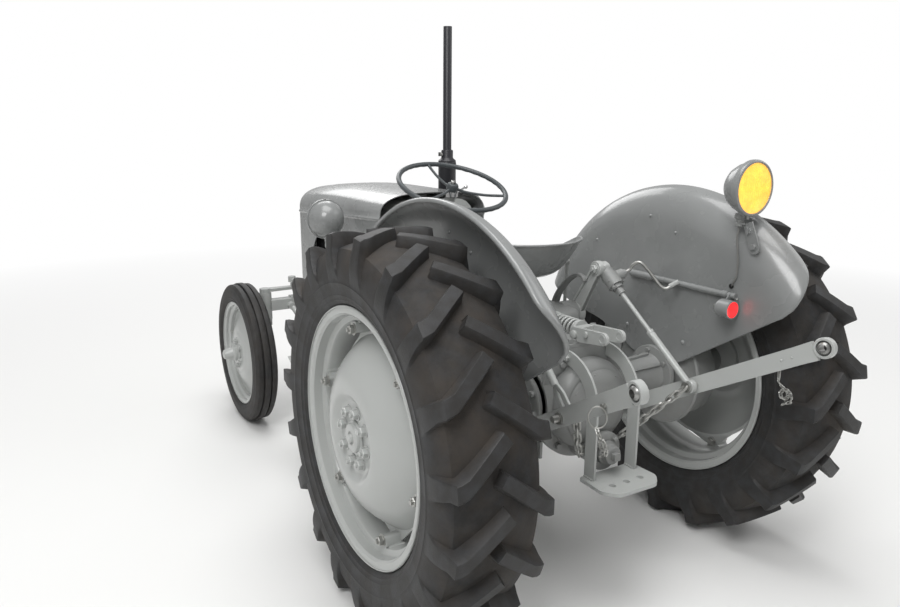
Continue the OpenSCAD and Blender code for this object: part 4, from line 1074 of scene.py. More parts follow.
@dataclass
class RearWheel:
    """Rear wheel: tyre, rim with its brackets, dished disc with hub nuts, and brake drum."""

    side: Side
    tyre: RearTyre = field(default_factory=RearTyre)
    track: float = 637.5
    axle_z: float = 590.0
    seat_radius: float = 356.0
    rim_width: float = 250.0
    rim_thickness: float = 5.0
    disc_thickness: float = 7.0
    bolts: int = 6
    bolt_angle: float = 14.0
    bolt_radius: float = 305.0
    tip_radius: float = 322.0
    corner: float = 60.0
    hub_x: float = 123.0
    hub_flat: float = 103.0
    crown_x: float = 140.0
    crown_radius: float = 135.0
    foot_radius: float = 286.0
    rim_face_x: float = 35.0
    bracket_length: float = 48.0
    hub_nuts: int = 8
    nut_circle: float = 78.0
    drum_radius: float = 178.0
    drum_inner_x: float = -184.0

    def at(self) -> Triple:
        """Middle of the right-hand wheel."""
        return (self.track, 0.0, self.axle_z)

    def rim(self) -> Form:
        """Rim: a rolled lip, a bead seat and a stepped well, turned about the axle.

        Returns:
            The form, on the right.
        """
        flange, seat, half = self.tyre.flange_radius, self.seat_radius, self.rim_width / 2
        lip = arc((flange - 5, half - 5), 5.0, 100, -20, 5)
        well = beside((seat, half), (4, -11), (0, -15), (-2, -41), (-5, -45), (-21, -50), (-24, -55))
        side = np.vstack([lip, [(flange - 2.5, half - 9)], well])
        middle = [(seat - 24, 14.0), (seat - 22, 8.0)]
        outline = np.vstack([side, middle, np.flip(middle, 0) * (1, -1), side[::-1] * (1, -1)])
        form = Form().turned(wall(outline, -self.rim_thickness), self.at(), Axis.X, 128, True)
        return form.join(self.brackets())

    def brackets(self) -> Form:
        """Brackets that are welded into the well, each a thick pad with a bolt that draws the disc against it.

        Returns:
            The form, on the right.
        """
        form = Form()
        x0, x1 = self.rim_face_x, self.rim_face_x + self.bracket_length
        low, high = self.bolt_radius - 11, self.seat_radius - 27
        pad = rounded([(-19, high), (-19, low), (19, low), (19, high)], 9)
        weld = rounded(beside((0, high), (-31, -1), (-27, -7), (27, -7), (31, -1), (31, 1), (-31, 1)), 3)
        for turn in np.arange(self.bolts) * 360 / self.bolts + self.bolt_angle - 90:
            one = Form().prism(pad, x0, x1).prism(weld, x0 - 6, x1 - 8)
            one.bolt((x1, 0, self.bolt_radius + 2), (1, 0, 0), 25, 17, 6, ZINC)
            one.bolt((x0 - self.disc_thickness, 0, self.bolt_radius + 2), (-1, 0, 0), 25, 14, 0, ZINC)
            form.join(one.spun(turn), self.at())
        return form

    def outline(self, angle: Array) -> Array:
        """Radius of the disc's edge at an angle: arcs about the bolts joined by straight sides.

        Args:
            angle: angles in radians.

        Returns:
            The radius at each angle.
        """
        turn = math.pi / self.bolts
        off = np.abs((angle - math.radians(self.bolt_angle) + turn) % (2 * turn) - turn)
        reach = self.tip_radius - self.corner
        limit = math.atan2(self.corner * math.sin(turn), reach + self.corner * math.cos(turn))
        round_part = reach * np.cos(off) + np.sqrt(np.maximum(self.corner ** 2 - (reach * np.sin(off)) ** 2, 0.0))
        flat_part = (reach * math.cos(turn) + self.corner) / np.cos(turn - off)
        return np.where(off < limit, round_part, flat_part)

    def dish(self, radius: Array) -> Array:
        """X of the disc at a radius: a flat hub, a steep rise to the crown, then a parabola down to the flange.

        Args:
            radius: the radii.

        Returns:
            X at each radius.
        """
        rise = ease((radius - self.hub_flat) / (self.crown_radius - self.hub_flat))
        fall = np.clip((radius - self.crown_radius) / (self.foot_radius - self.crown_radius), 0, 1) ** 2
        return self.hub_x + (self.crown_x - self.hub_x) * rise - (self.crown_x - self.rim_face_x) * fall

    def disc(self) -> Form:
        """Disc: a polar grid from the hub's hole to the shaped edge, with hub, nuts and the brake drum behind.

        Returns:
            The form, on the right.
        """
        angle = np.arange(144) * 2 * math.pi / 144
        inner = np.concatenate([[36, 70, 100], np.linspace(self.hub_flat, self.crown_radius, 10),
                                np.linspace(self.crown_radius + 6, self.foot_radius, 22), [self.foot_radius + 3]])
        outer = np.maximum(self.outline(angle), self.foot_radius + 6)
        radius = np.vstack([np.repeat(inner[:, None], len(angle), axis=1), (outer + inner[-1]) / 2, outer])
        place = np.stack([self.dish(radius), radius * np.cos(angle), radius * np.sin(angle)], axis=-1)
        form = Form().sheet(place, -self.disc_thickness, True)
        x = self.hub_x
        back = -self.disc_thickness
        form.turned(beside((0, x), (0, -44), (50, -44), (102, -20), (102, back), (0, back)), count=64)
        form.turned(beside((0, x), (0, -2), (52, -2), (52, 3), (49, 6), (44, 6), (41, 14), (36, 16), (20, 16),
                           (18, 12), (14, 12), (12, 19), (6, 21), (0, 21)), count=48)
        for spot in self.nut_circle * circle(self.hub_nuts, math.radians(12)):
            form.bolt((x, *spot), (1, 0, 0), 27, 18, 6)
        form.join(self.drum())
        return Form().join(form, self.at())

    def drum(self) -> Form:
        """Brake drum: a ribbed pot that the hub carries, with a rolled edge.

        Returns:
            The form, about the origin.
        """
        x0, r = self.drum_inner_x, self.drum_radius
        profile = np.vstack([beside((0, x0), (0, 18), (60, 18), (60, 1)),
                             beside((r, x0), (-6, 1), (0, 5), (0, 22), (-5, 27), (-5, 84), (-12, 98), (-26, 104)),
                             beside((0, x0), (72, 104), (58, 120), (52, 150)),
                             beside((0, self.hub_x), (52, -44), (0, -44))])
        return Form(CAST).turned(profile, count=80)

    def build(self, shop: Workshop, phase: float) -> None:
        """Makes the wheel's pieces.

        Args:
            shop: the workshop.
            phase: how far the tread is turned, in degrees.
        """
        word = self.side.word
        body = f"rear_wheel_{word}"
        form, dust = self.tyre.form(self.side, phase)
        placed = Form(RUBBER).join(form, (self.track * self.side.value, 0.0, self.axle_z))
        tyre = shop.piece(f"rear_tyre_rubber_{word}", placed, body, [f"rear_tyre_{word}"], sharp=40)
        shop.soil(tyre, dust)
        shop.piece(f"rear_rim_steel_{word}", self.rim().on(self.side), body, [f"rear_rim_{word}"])
        shop.piece(f"rear_disc_steel_{word}", self.disc().on(self.side), body, [f"rear_disc_{word}"])


@dataclass
class FrontWheel:
    """Front wheel: a ribbed tyre on a rim with a dished disc, six nuts and a tapered hub cap."""

    side: Side
    track: float = 567.0
    wheelbase: float = 1778.0
    radius: float = 345.0
    flange_radius: float = 257.0
    seat_radius: float = 241.0
    half_width: float = 56.0
    rim_half: float = 47.0
    hub_face: float = 44.0
    cap_x: float = 116.0
    nuts: int = 6
    nut_circle: float = 62.0
    dust: float = 0.45

    def at(self) -> Triple:
        """Middle of the right-hand wheel."""
        return (self.track, self.wheelbase, self.radius)

    def tyre(self) -> Form:
        """Tyre: a round sidewall with fine rings and a tread of three ribs, the middle one highest.

        Returns:
            The form, on the right.
        """
        r, w = self.radius, self.half_width
        foot = [(self.seat_radius + 0.4, 36), (self.flange_radius - 1, 38)]
        bend = beside((self.flange_radius, w), (5, -10), (13, -4.5))
        side = beside((0, w), (274, -2.2), (276, -0.6), (278, -1.8), (288, -0.2), (300, -0.4), (312, -2.2),
                      (320, -4.0), (323, -3.6), (326, -5.6), (332, -8.5))
        shoulder = beside((r, w), (-8, -12), (-5.5, -15))
        ribs = beside((r, 0), (-4.5, 24), (-5.5, 21.5), (-14, 20), (-14, 14.5), (-1.5, 13), (0, 10.5))
        half = np.vstack([foot, bend, side, shoulder, ribs])
        return Form(RUBBER).turned(np.vstack([half, half[::-1] * (1, -1)]), self.at(), Axis.X, 120, True)

    def wheel(self) -> Form:
        """Rim, dished disc, hub and cap, turned about the axle.

        Returns:
            The form, on the right.
        """
        seat, flange, half = self.seat_radius, self.flange_radius, self.rim_half
        lip = arc((flange - 4, half - 4), 4.0, 100, -20, 4)
        well = beside((seat, half), (3, -9), (0, -12), (-1, -24), (-12, -29), (-14, -32))
        side = np.vstack([lip, [(flange - 2, half - 7.5)], well])
        form = Form().turned(wall(np.vstack([side, side[::-1] * (1, -1)]), -4), count=96, ring=True)
        face = self.hub_face
        bow = np.linspace(0, 1, 12)
        dish = np.stack([104 + (212 - 104) * bow, face - 5 - (face - 8) * ease(bow)], axis=1)
        disc = np.vstack([[(34, face), (88, face), (97, face - 1)], dish, [(seat - 17, 1), (seat - 16, -9)]])
        form.turned(wall(disc, -5), count=96, ring=True)
        hub = beside((0, face), (44, -20), (82, -12), (82, -4), (0, -4))
        form.turned(np.vstack([[(0, -62), (40, -62), (46, -32)], hub]), count=48)
        cup = beside((0, face), (0, -2), (43, -2), (43, 4), (39, 8), (38, 22), (34, 27), (31, 28))
        form.turned(np.vstack([cup, beside((0, self.cap_x), (24, -8), (21, -3), (15, 0), (0, 0))]), count=40)
        for spot in self.nut_circle * circle(self.nuts, 0.4):
            form.bolt((face, *spot), (1, 0, 0), 22, 13, 5)
        form.rod([(8, seat - 40, 60), (22, seat - 40, 61)], 3.2, ZINC)
        return Form().join(form, self.at())

    def build(self, shop: Workshop) -> None:
        """Makes the wheel's pieces.

        Args:
            shop: the workshop.
        """
        word = self.side.word
        body = f"front_wheel_{word}"
        tyre, wheel = self.tyre().on(self.side), self.wheel().on(self.side)
        made = shop.piece(f"front_tyre_rubber_{word}", tyre, body, [f"front_tyre_{word}"])
        shop.soil(made, np.full(tyre.count, self.dust))
        shop.piece(f"front_wheel_steel_{word}", wheel, body, [f"front_wheel_{word}"])


# BODYWORK


def smooth(points: Sequence[Point], steps: int = 8) -> Array:
    """Smooth curve through points: a Catmull-Rom spline, a cubic between neighbours whose slopes are half the
    difference of the points on either side.

    Args:
        points: the points to pass through.
        steps: steps between two neighbours.

    Returns:
        The curve's points.
    """
    p = np.array(points, float)
    p = np.vstack([2 * p[0] - p[1], p, 2 * p[-1] - p[-2]])
    u = np.linspace(0, 1, steps, endpoint=False)[None, :, None]
    a, b, c, d = (p[k:len(p) - 3 + k, None] for k in range(4))
    curve = 0.5 * (2 * b + (c - a) * u + (2 * a - 5 * b + 4 * c - d) * u ** 2 + (3 * b - a - 3 * c + d) * u ** 3)
    return np.vstack([curve.reshape(-1, p.shape[1]), p[-2:-1]])


@dataclass
class Mudguard:
    """Mudguard: a flat side that curves out into a crown with a rolled lip."""

    side: Side
    flat_x: float = 415.0
    centre: Pair = (-5.0, 560.0)
    radius: float = 697.0
    flat_radius: float = 575.0
    out: float = 85.0
    thickness: float = 2.6
    bead: float = 5.5
    front: float = 21.9
    rear: float = 145.4
    corner_radius: float = 95.0
    blur: int = 5
    low: tuple[Pair, ...] = (
        (480, 760), (382, 741), (285, 723), (185, 684), (85, 644), (-12, 649), (-112, 656))
    rivets: tuple[Pair, ...] = ((141, 736), (8, 673), (-128, 734))
    small_rivets: tuple[Pair, ...] = ((-60, 1105), (60, 1150), (330, 1030))

    def reach(self, start: Array, end: Array) -> Array:
        """Where each row ends: on the crown's circle, or on the arc that rounds the rear corner. The arc touches the
        crown's circle and the rear edge, so its centre lies its radius inside both.

        Args:
            start: the rows' points on the lower edge.
            end: the rows' points on the crown's circle.

        Returns:
            The rows' ends, as rows of Y and Z.
        """
        middle = np.array(self.centre)
        edge = (end[-1] - start[-1]) / np.linalg.norm(end[-1] - start[-1])
        inward = np.array((edge[1], -edge[0]))
        turn = math.acos((self.corner_radius - inward @ (middle - start[-1])) / (self.radius - self.corner_radius))
        turn += math.atan2(inward[1], inward[0])
        corner = middle + (self.radius - self.corner_radius) * np.array((math.cos(turn), math.sin(turn)))
        step = (end - start) / np.linalg.norm(end - start, axis=1, keepdims=True)
        away = start - corner
        half = np.sum(away * step, axis=1)
        far = -half + np.sqrt(np.maximum(half ** 2 - np.sum(away ** 2, axis=1) + self.corner_radius ** 2, 0.0))
        past = np.arctan2(end[:, 1] - middle[1], end[:, 0] - middle[0]) > turn
        return np.where(past[:, None], start + far[:, None] * step, end)

    def grid(self) -> Array:
        """Surface of the guard. Each row is a straight line in side view, from a point of the lower edge to one of
        the crown; X follows a quarter ellipse over the crown, averaged over nearby rows so that the lip runs smoothly
        into the corner, and the last columns roll into the lip.

        Returns:
            Rows by columns by three.
        """
        middle = np.array(self.centre)
        low = smooth(self.low, 16)
        share = np.concatenate([[0], np.cumsum(np.linalg.norm(np.diff(low, axis=0), axis=1))])
        share /= share[-1]
        # Shares of the lower edge, with closer rows at the rear, where the corner bends.
        rows = np.concatenate([np.linspace(0, 0.8, 48), np.linspace(0.81, 1, 28)])
        start = np.stack([np.interp(rows, share, low[:, k]) for k in range(2)], axis=1)
        angle = np.radians(self.front + (self.rear - self.front) * rows)
        end = self.reach(start, middle + self.radius * np.stack([np.cos(angle), np.sin(angle)], axis=1))
        start_r = np.linalg.norm(start - middle, axis=1)[:, None]
        end_r = np.linalg.norm(end - middle, axis=1)[:, None]
        turn = np.radians(np.linspace(0, 90, 13)[1:])
        flat = start_r + (self.flat_radius - start_r) * np.linspace(0, 1, 16)
        r = np.hstack([flat, self.flat_radius + (end_r - self.flat_radius) * np.sin(turn)])
        bulge = np.clip((r - self.flat_radius) / (self.radius - self.flat_radius), 0, 1)
        x = self.out * (1 - np.sqrt(1 - bulge ** 2))
        reach, bell = self.blur, np.hanning(2 * self.blur + 3)
        padded = np.pad(x, ((reach, reach), (0, 0)), mode="edge")
        x = sliding_window_view(padded, 2 * reach + 1, axis=0) @ (bell[1:-1] / bell.sum())
        step = end - start
        a = np.sum(step ** 2, axis=1)[:, None]
        b = np.sum((start - middle) * step, axis=1)[:, None]
        t = (-b + np.sqrt(np.maximum(b ** 2 - a * (start_r ** 2 - r ** 2), 0.0))) / a
        place = start[:, None] + t[..., None] * step[:, None]
        roll = np.radians(np.linspace(20, 250, 10))
        out = step / np.linalg.norm(step, axis=1, keepdims=True)
        lip = place[:, -1:] + (self.bead * (np.cos(roll) - 1))[None, :, None] * out[:, None]
        place = np.concatenate([place, lip], axis=1)
        x = np.hstack([x, x[:, -1:] + self.bead * np.sin(roll)])
        return np.concatenate([self.flat_x + x[..., None], place], axis=2)

    def build(self, shop: Workshop) -> None:
        """Makes the guard.

        Args:
            shop: the workshop.
        """
        surface = self.grid()
        form = Form(SHEET_PAINT).sheet(surface, self.thickness)
        edge = np.concatenate([surface[0, 22::-1], surface[1:-1, 0], surface[-1, :23]]) + np.array((0.8, 0, 0))
        form.rod(edge[[0] + list(range(1, len(edge), 2))], 2.6, count=8, up=(1, 0, 0))
        for spot in self.rivets:
            form.ball((self.flat_x - 1, *spot), 8.5, count=16)
        for spot in self.small_rivets:
            form.ball((self.flat_x - 1, *spot), 6.0, count=12)
        form.rod([(self.flat_x - 0.5, 372, 778), (self.flat_x - 0.5, 253, 708)], 2.2, count=8)
        word = self.side.word
        shop.piece(f"mudguard_sheet_{word}", form.on(self.side), "chassis", [f"mudguard_{word}"],
                   sharp=50)


@dataclass
class Bonnet:
    """Bonnet with its nose, a bead along each side, and the upright bars of the grille."""

    half_width: float = 250.0
    rear_y: float = 880.0
    front_y: float = 1852.0
    top_z: float = 1186.0
    thickness: float = 3.0
    nose: float = 60.0
    skirt_z: float = 960.0
    cheek_z: float = 632.0
    arch_y: float = 1500.0
    arch_length: float = 190.0
    bead_z: float = 1027.0
    bead_rise: float = 5.0
    bars: int = 15
    hinge: Pair = (1825.0, 606.0)

    def stations(self) -> Array:
        """Rows of Y and inset: the straight sides, the arch over the axle, then the quarter round of the nose.

        Returns:
            A row for each station.
        """
        turn = np.radians(np.linspace(0, 90, 11))
        straight = np.linspace(self.rear_y, self.arch_y, 12)
        arch = self.arch_y + self.arch_length * np.sin(turn[1:])
        nose = self.front_y - self.nose + self.nose * np.sin(turn)
        y = np.concatenate([straight, arch, nose, [self.front_y, self.front_y]])
        inset = np.concatenate([np.zeros(len(straight) + len(arch)), self.nose * (1 - np.cos(turn)),
                                [self.nose + 25, self.nose + 50]])
        return np.stack([y, inset], axis=1)

    def surface(self) -> Array:
        """Outer skin. Each section runs from the left skirt over the bead, a superellipse shoulder and the top.

        Returns:
            Rows by columns by three.
        """
        y, inset = self.stations().T
        rise = np.clip((y - self.arch_y) / self.arch_length, 0, 1)
        skirt = np.where(y < self.arch_y, self.skirt_z,
                         self.cheek_z + (self.skirt_z - self.cheek_z) * np.sqrt(1 - rise ** 2))
        bead = self.bead_z + (self.front_y - y) * 0.061
        top = self.top_z - 40 * np.clip((y - 1300) / (self.front_y - 1300), 0, 1) ** 2 - inset
        half = self.half_width - inset
        down = np.linspace(0, 1, 10)
        low_z = skirt[:, None] + (bead - 10 - skirt)[:, None] * down
        low_x = np.broadcast_to(half[:, None], low_z.shape)
        bend = np.linspace(-1, 1, 9)
        bead_z = bead[:, None] + 9 * bend
        bead_x = half[:, None] + self.bead_rise * np.cos(bend * math.pi / 2) ** 1.5
        turn = np.radians(np.linspace(0, 90, 19))[1:]
        side_x = half[:, None] * np.maximum(np.cos(turn), 0) ** 0.62
        side_z = bead[:, None] + 9 + (top - bead - 9)[:, None] * np.sin(turn) ** 0.75
        x, z = np.hstack([low_x, bead_x, side_x]), np.hstack([low_z, bead_z, side_z])
        x, z = np.hstack([x, -x[:, -2::-1]]), np.hstack([z, z[:, -2::-1]])
        return np.stack([x, np.broadcast_to(y[:, None], x.shape), z], axis=-1)

    def grille(self) -> Form:
        """Grille: a frame with rounded upright bars, and mesh-dark depth behind them from the radiator.

        Returns:
            The form.
        """
        form = Form()
        half, low, high = self.half_width - self.nose - 36, self.cheek_z + 30, 1072.0
        y = self.front_y - self.thickness - 8
        for x in np.linspace(-half + 14, half - 14, self.bars + 2)[1:-1]:
            form.swept([(x, y, low + 6), (x, y + 3, low + 40), (x, y + 3, high - 40), (x, y, high - 6)],
                       np.array([(-4, -6), (4, -6), (4, 2), (2, 5), (-2, 5), (-4, 2)]), up=(0, 1, 0.01))
        frame = rounded([(-half, low), (half, low), (half, high), (-half, high)], 26, 5)
        path = np.stack([frame[:, 0], np.full(len(frame), y), frame[:, 1]], axis=1)
        form.loop(path, 7.5 * circle(10), up=(0, 1, 0))
        for z in (low + 150, high - 150):
            form.rod([(-half, y - 5, z), (half, y - 5, z)], 3.0, count=8)
        return form

    def build(self, shop: Workshop) -> None:
        """Makes the bonnet and its grille.

        Args:
            shop: the workshop.
        """
        skin = Form(SHEET_PAINT).sheet(self.surface(), -self.thickness)
        ear = np.vstack([arc(self.hinge, 18, 180, 300, 8), [(self.front_y - 4, self.cheek_z + 20),
                        (self.front_y - 4, self.cheek_z + 60), (self.front_y - 34, self.cheek_z + 60)]])
        skin.join(Form(SHEET_PAINT).prism(ear, 162, 172).both())
        spot = (self.half_width, self.rear_y, 0)
        catch = Form().block(*beside(spot, (-1, 52, 985), (4, 74, 1012)))
        skin.join(catch.rod(beside(spot, (2, 63, 1010), (7, 63, 1022)), 4.0).both())
        shop.piece("bonnet_sheet", skin, "bonnet", ["bonnet"], sharp=50)
        shop.piece("grille_bars", self.grille(), "bonnet", ["grille"])


@dataclass
class SeatPan:
    """Pressed pan of the seat, high behind and open in front, on a leaf spring."""

    at: Triple = (0.0, 262.0, 951.0)
    radius: float = 205.0
    depth: float = 128.0
    front_reach: float = 108.0
    thickness: float = 3.0
    holes: int = 6

    def pan(self) -> Array:
        """Polar grid: the rim's height and reach fall from the back to the front, and each spoke of the grid
        rises from the flat middle as one minus a cosine.

        Returns:
            Rows by columns by three.
        """
        angle = np.arange(72) * 2 * math.pi / 72
        back = np.abs((angle - 1.5 * math.pi + math.pi) % (2 * math.pi) - math.pi)
        reach = self.radius - (self.radius - self.front_reach) * ease((back - 1.2) / 1.75)
        height = self.depth * (1 - 0.97 * ease((back - 1.0) / 1.55))
        u = np.linspace(0, 1, 22)[:, None]
        flat = 0.42
        bend = np.clip((u - flat) / (1 - flat), 0, 1)
        r = reach * (u * 0.9 + 0.1 * np.sin(bend * math.pi / 2) * (u > flat) + 0.1 * u * (u <= flat))
        z = height * (1 - np.cos(bend * math.pi / 2)) ** 1.1
        roll = np.radians(np.linspace(160, -60, 8))[:, None]
        r = np.vstack([r, r[-1:] + 4.0 * (np.cos(roll) + 1)])
        z = np.vstack([z, z[-1:] + 4.0 * np.sin(roll)])
        points = np.stack([r * np.cos(angle), r * np.sin(angle), z], axis=-1)
        points[0] = 0.0
        return points + np.array(self.at)

    def build(self, shop: Workshop) -> None:
        """Makes the pan and its spring.

        Args:
            shop: the workshop.
        """
        inner = self.pan()[1:]
        form = Form(SHEET_PAINT).sheet(inner, -self.thickness, True)
        hub = np.array(self.at)
        reach = np.linalg.norm(inner[0, 0, :2] - hub[:2])
        form.turned([(0, -1), (reach + 3, -1), (reach + 3, self.thickness), (0, self.thickness)], self.at, Axis.Z, 24)
        # Each drain hole is a lipped ring round a dark disc set into the uncut sheet; the disc is painted shade where
        # the opening would be.
        for spot in circle(self.holes, 0.5) * 62:
            form.turned([(9, -1.4), (11.5, -1.0), (11.5, 0.8), (9, 0.8)], hub + (*spot, 3.2), Axis.Z, 20, True)
            form.turned([(0, 0.3), (9.4, 0.3), (9.4, -4.4), (0, -4.4)], hub + (*spot, 3.2), Axis.Z, 16, finish=HOLE_SHADE)
        form.bolt(hub + (0, 0, self.thickness), (0, 0, 1), 24)
        shop.piece("seat_sheet", form, "chassis", ["seat_pan"], sharp=50)
        top = self.at[2] - 8
        path = smooth([(0, 555, 761), (0, 500, 761), (0, 455, 768), (0, 405, 800), (0, 330, 876), (0, 290, 916),
                       (0, 250, 938), (0, 205, top + 2)], 6)
        leaf = Form(SHEET_PAINT).swept(path, oblong(30, 4), up=(0, 1, 0.4))
        leaf.bolt((0, 530, 764), (0, 0, 1), 26).bolt((0, 500, 764), (0, 0, 1), 26)
        shop.piece("seat_leaf", leaf, "chassis", ["seat_spring"])


@dataclass
class WorkLamp:
    """Work lamp on the right guard, lit: shell, rim, ribbed lens, stalk, bracket and wire."""

    at: Triple = (417.0, -343.0, 1277.0)
    radius: float = 87.0
    bolts: tuple[Pair, ...] = ((-357, 1149), (-377, 1101))
    grommet: Triple = (413.0, -308.0, 965.0)

    def lens(self) -> Form:
        """Lens: a shallow dome with upright ribs, whose depth follows a cosine of X.

        Returns:
            The form, about the origin.
        """
        r = np.linspace(0, 78, 26)[:, None]
        spin = circle(72)
        x, z = r * spin[:, 0], r * spin[:, 1]
        fade = np.clip((78 - r) / 10, 0, 1)
        y = -12 - 7 * (1 - (r / 78) ** 2) - 1.1 * fade * np.cos(x * 2 * math.pi / 9.5)
        face = np.stack([x, y, z], axis=-1)
        face[0] = face[0].mean(axis=0)
        back = np.stack([78 * spin[:, 0], np.full(72, -4.0), 78 * spin[:, 1]], axis=-1)[None]
        return Form(AMBER).grid(np.concatenate([face, back]), False, True)

    def build(self, shop: Workshop) -> None:
        """Makes the lamp's pieces.

        Args:
            shop: the workshop.
        """
        r = self.radius
        bowl = [(0, 78), (12, 77.5), (30, 74), (48, 64), (62, 50), (73, 31), (79, 12), (81, 2), (80, -2), (60, -3),
                (0, -3)]
        shell = Form(SHEET_PAINT).turned(bowl, self.at, Axis.Y, 64)
        rim = [(80.5, 5), (84, 5.5), (86, 3), (r - 0.4, -3), (r - 0.4, -9), (85, -14), (81, -16.5), (77.5, -16),
               (76.5, -13), (79, -11), (80.5, -8)]
        shell.turned(rim, self.at, Axis.Y, 64, True)
        x, y, z = self.at
        shell.rod([(x, y + 4, z - r + 4), (x, y + 4, z - r - 9)], 5.0, ZINC)
        stalk = [(0, -84), (17, -80), (19, -92), (12, -99), (12, -108), (16, -110), (16, -117), (9, -122), (0, -122)]
        shell.turned(stalk, (x - 4, y + 26, z), Axis.Z, 24, finish=CAST)
        strap = beside(self.at, (-4, 26, -113), (-4, 2, -112), (-5, -12, -122), (-6, -14, -140))
        shell.swept(smooth(strap, 6), oblong(12, 2), up=(0.1, 1, 0.6))
        low, high = np.array(self.bolts[1]), np.array(self.bolts[0])
        reach = (high - low) / np.linalg.norm(high - low)
        side = np.array((-reach[1], reach[0]))
        tip = math.degrees(math.atan2(side[1], side[0]))
        plate = np.vstack([arc(low - 4 * reach, 19, tip, tip + 180, 10), [high + 24 * reach - 17 * side],
                           [high + 24 * reach + 17 * side]])
        shell.prism(plate, 409.5, 414.0)
        for spot in self.bolts:
            shell.bolt((409.5, *spot), (-1, 0, 0), 17, 8)
        shop.piece("work_lamp_shell", shell, "chassis", ["work_lamp"])
        shop.piece("work_lamp_lens", Form(AMBER).join(self.lens(), self.at), "chassis")
        path = smooth([(x - 4, y + 26, z - 120), (405, -318, 1120), (402, -330, 1060), (403, -330, 1005),
                       (406, -318, 978), self.grommet], 10)
        wire = shop.piece("work_lamp_wire", Form(CABLE_GREY).rod(path, 3.0, count=10), "chassis")
        shop.hang(path)
        grip = Form(CABLE).turned([(3, -4), (8, -4), (8, 1), (3, 1)], self.grommet, Axis.X, 18, True)
        shop.piece("work_lamp_grommet", grip, "chassis")


@dataclass
class TailLamp:
    """Tail lamp, lit, under the end of the tube that carries its wire."""

    tube_at: Pair = (403.0, 937.0)
    at: Triple = (375.0, -330.0, 900.0)

    def build(self, shop: Workshop) -> None:
        """Makes the tube, its clips and the lamp.

        Args:
            shop: the workshop.
        """
        x, z = self.tube_at
        form = Form(SHEET_PAINT).rod([(x, -335, z), (x, 130, z)], 10.0, count=20)
        form.rod([(x, 20, z), (x, 124, z)], 13.0, count=20)
        for y in (-296.0, 66.0):
            form.rod([(x, y - 9, z), (x, y + 9, z)], 12.5, count=20)
            form.block((x, y - 9, z - 12), (415.0, y + 9, z - 2))
        x, y, z = self.at
        bowl = [(0, 42), (9, 41), (22, 35), (28, 26), (29.5, 20), (29.5, -15), (30, -17), (30, -20), (26, -21),
                (26, -18), (0, -18)]
        form.turned(bowl, self.at, Axis.Y, 40)
        form.turned([(0, 41), (7, 41), (7, 50), (4, 53), (0, 53)], self.at, Axis.Y, 12, finish=ZINC)
        clip = [(x + 12, y + 12, z + 24), (x + 22, y + 12, z + 36), (403, y + 12, z + 37)]
        form.swept(clip, oblong(9, 2), up=(0, 1, 0))
        form.bolt((x + 36, y - 2, z + 24), (0, -1, 0.2), 13, 8, finish=ZINC)
        shop.piece("tail_lamp_shell", form, "chassis", ["tail_lamp"])
        dome = [(0, -18), (25.6, -18), (25.6, -20), (22, -21.5), (0, -22)]
        shop.piece("tail_lamp_lens", Form(RED_GLASS).turned(dome, self.at, Axis.Y, 40), "chassis")


@dataclass
class HeadLamps:
    """Pair of headlamps beside the bonnet, on brackets from the engine."""

    at: Triple = (360.0, 1170.0, 1062.0)
    radius: float = 85.0
    foot_x: float = 88.0
    foot_z: float = 880.0

    def build(self, shop: Workshop) -> None:
        """Makes shells, lenses and brackets.

        Args:
            shop: the workshop.
        """
        r = self.radius
        bowl = [(0, -72), (8, -72), (26, -68), (44, -58), (60, -42), (71, -22), (77, -4), (79, 8), (r - 1, 9),
                (r, 12), (r, 19), (r - 2, 24), (r - 6, 26), (r - 8, 24), (0, 24)]
        form = Form(SHEET_PAINT).turned(bowl, self.at, Axis.Y, 64)
        x, y, z = self.at
        form.rod([(x, y + 14, z + r - 3), (x, y + 14, z + r + 2)], 5.0, ZINC)
        form.turned([(0, -62), (22, -66), (24, -76), (14, -84), (14, -94), (0, -94)], (x, y - 5, z), Axis.Z, 24)
        foot = self.foot_x
        arm = np.vstack([beside((x, y - 5, z), (0, 0, -90), (0, 0, -116), (-12, 0, -129), (-30, 0, -130)),
                         beside((foot, y - 5, z), (30, 0, -130), (8, 0, -132), (0, 0, -146)),
                         [(foot, y - 5, self.foot_z + 4)]])
        form.rod(smooth(arm, 5), 12.0, up=(0, 1, 0))
        form.block(*beside((foot, y, self.foot_z), (-28, -33, -1), (28, 23, 9)))
        shop.piece("headlamp_shells", form.both(), "chassis", ["headlamps"])
        dome = [(0, 24), (r - 8, 24), (r - 9, 26), (52, 31), (24, 33.5), (0, 34)]
        shop.piece("headlamp_lenses", Form(CLEAR_GLASS).turned(dome, self.at, Axis.Y, 48).both(), "chassis")


# STEERING


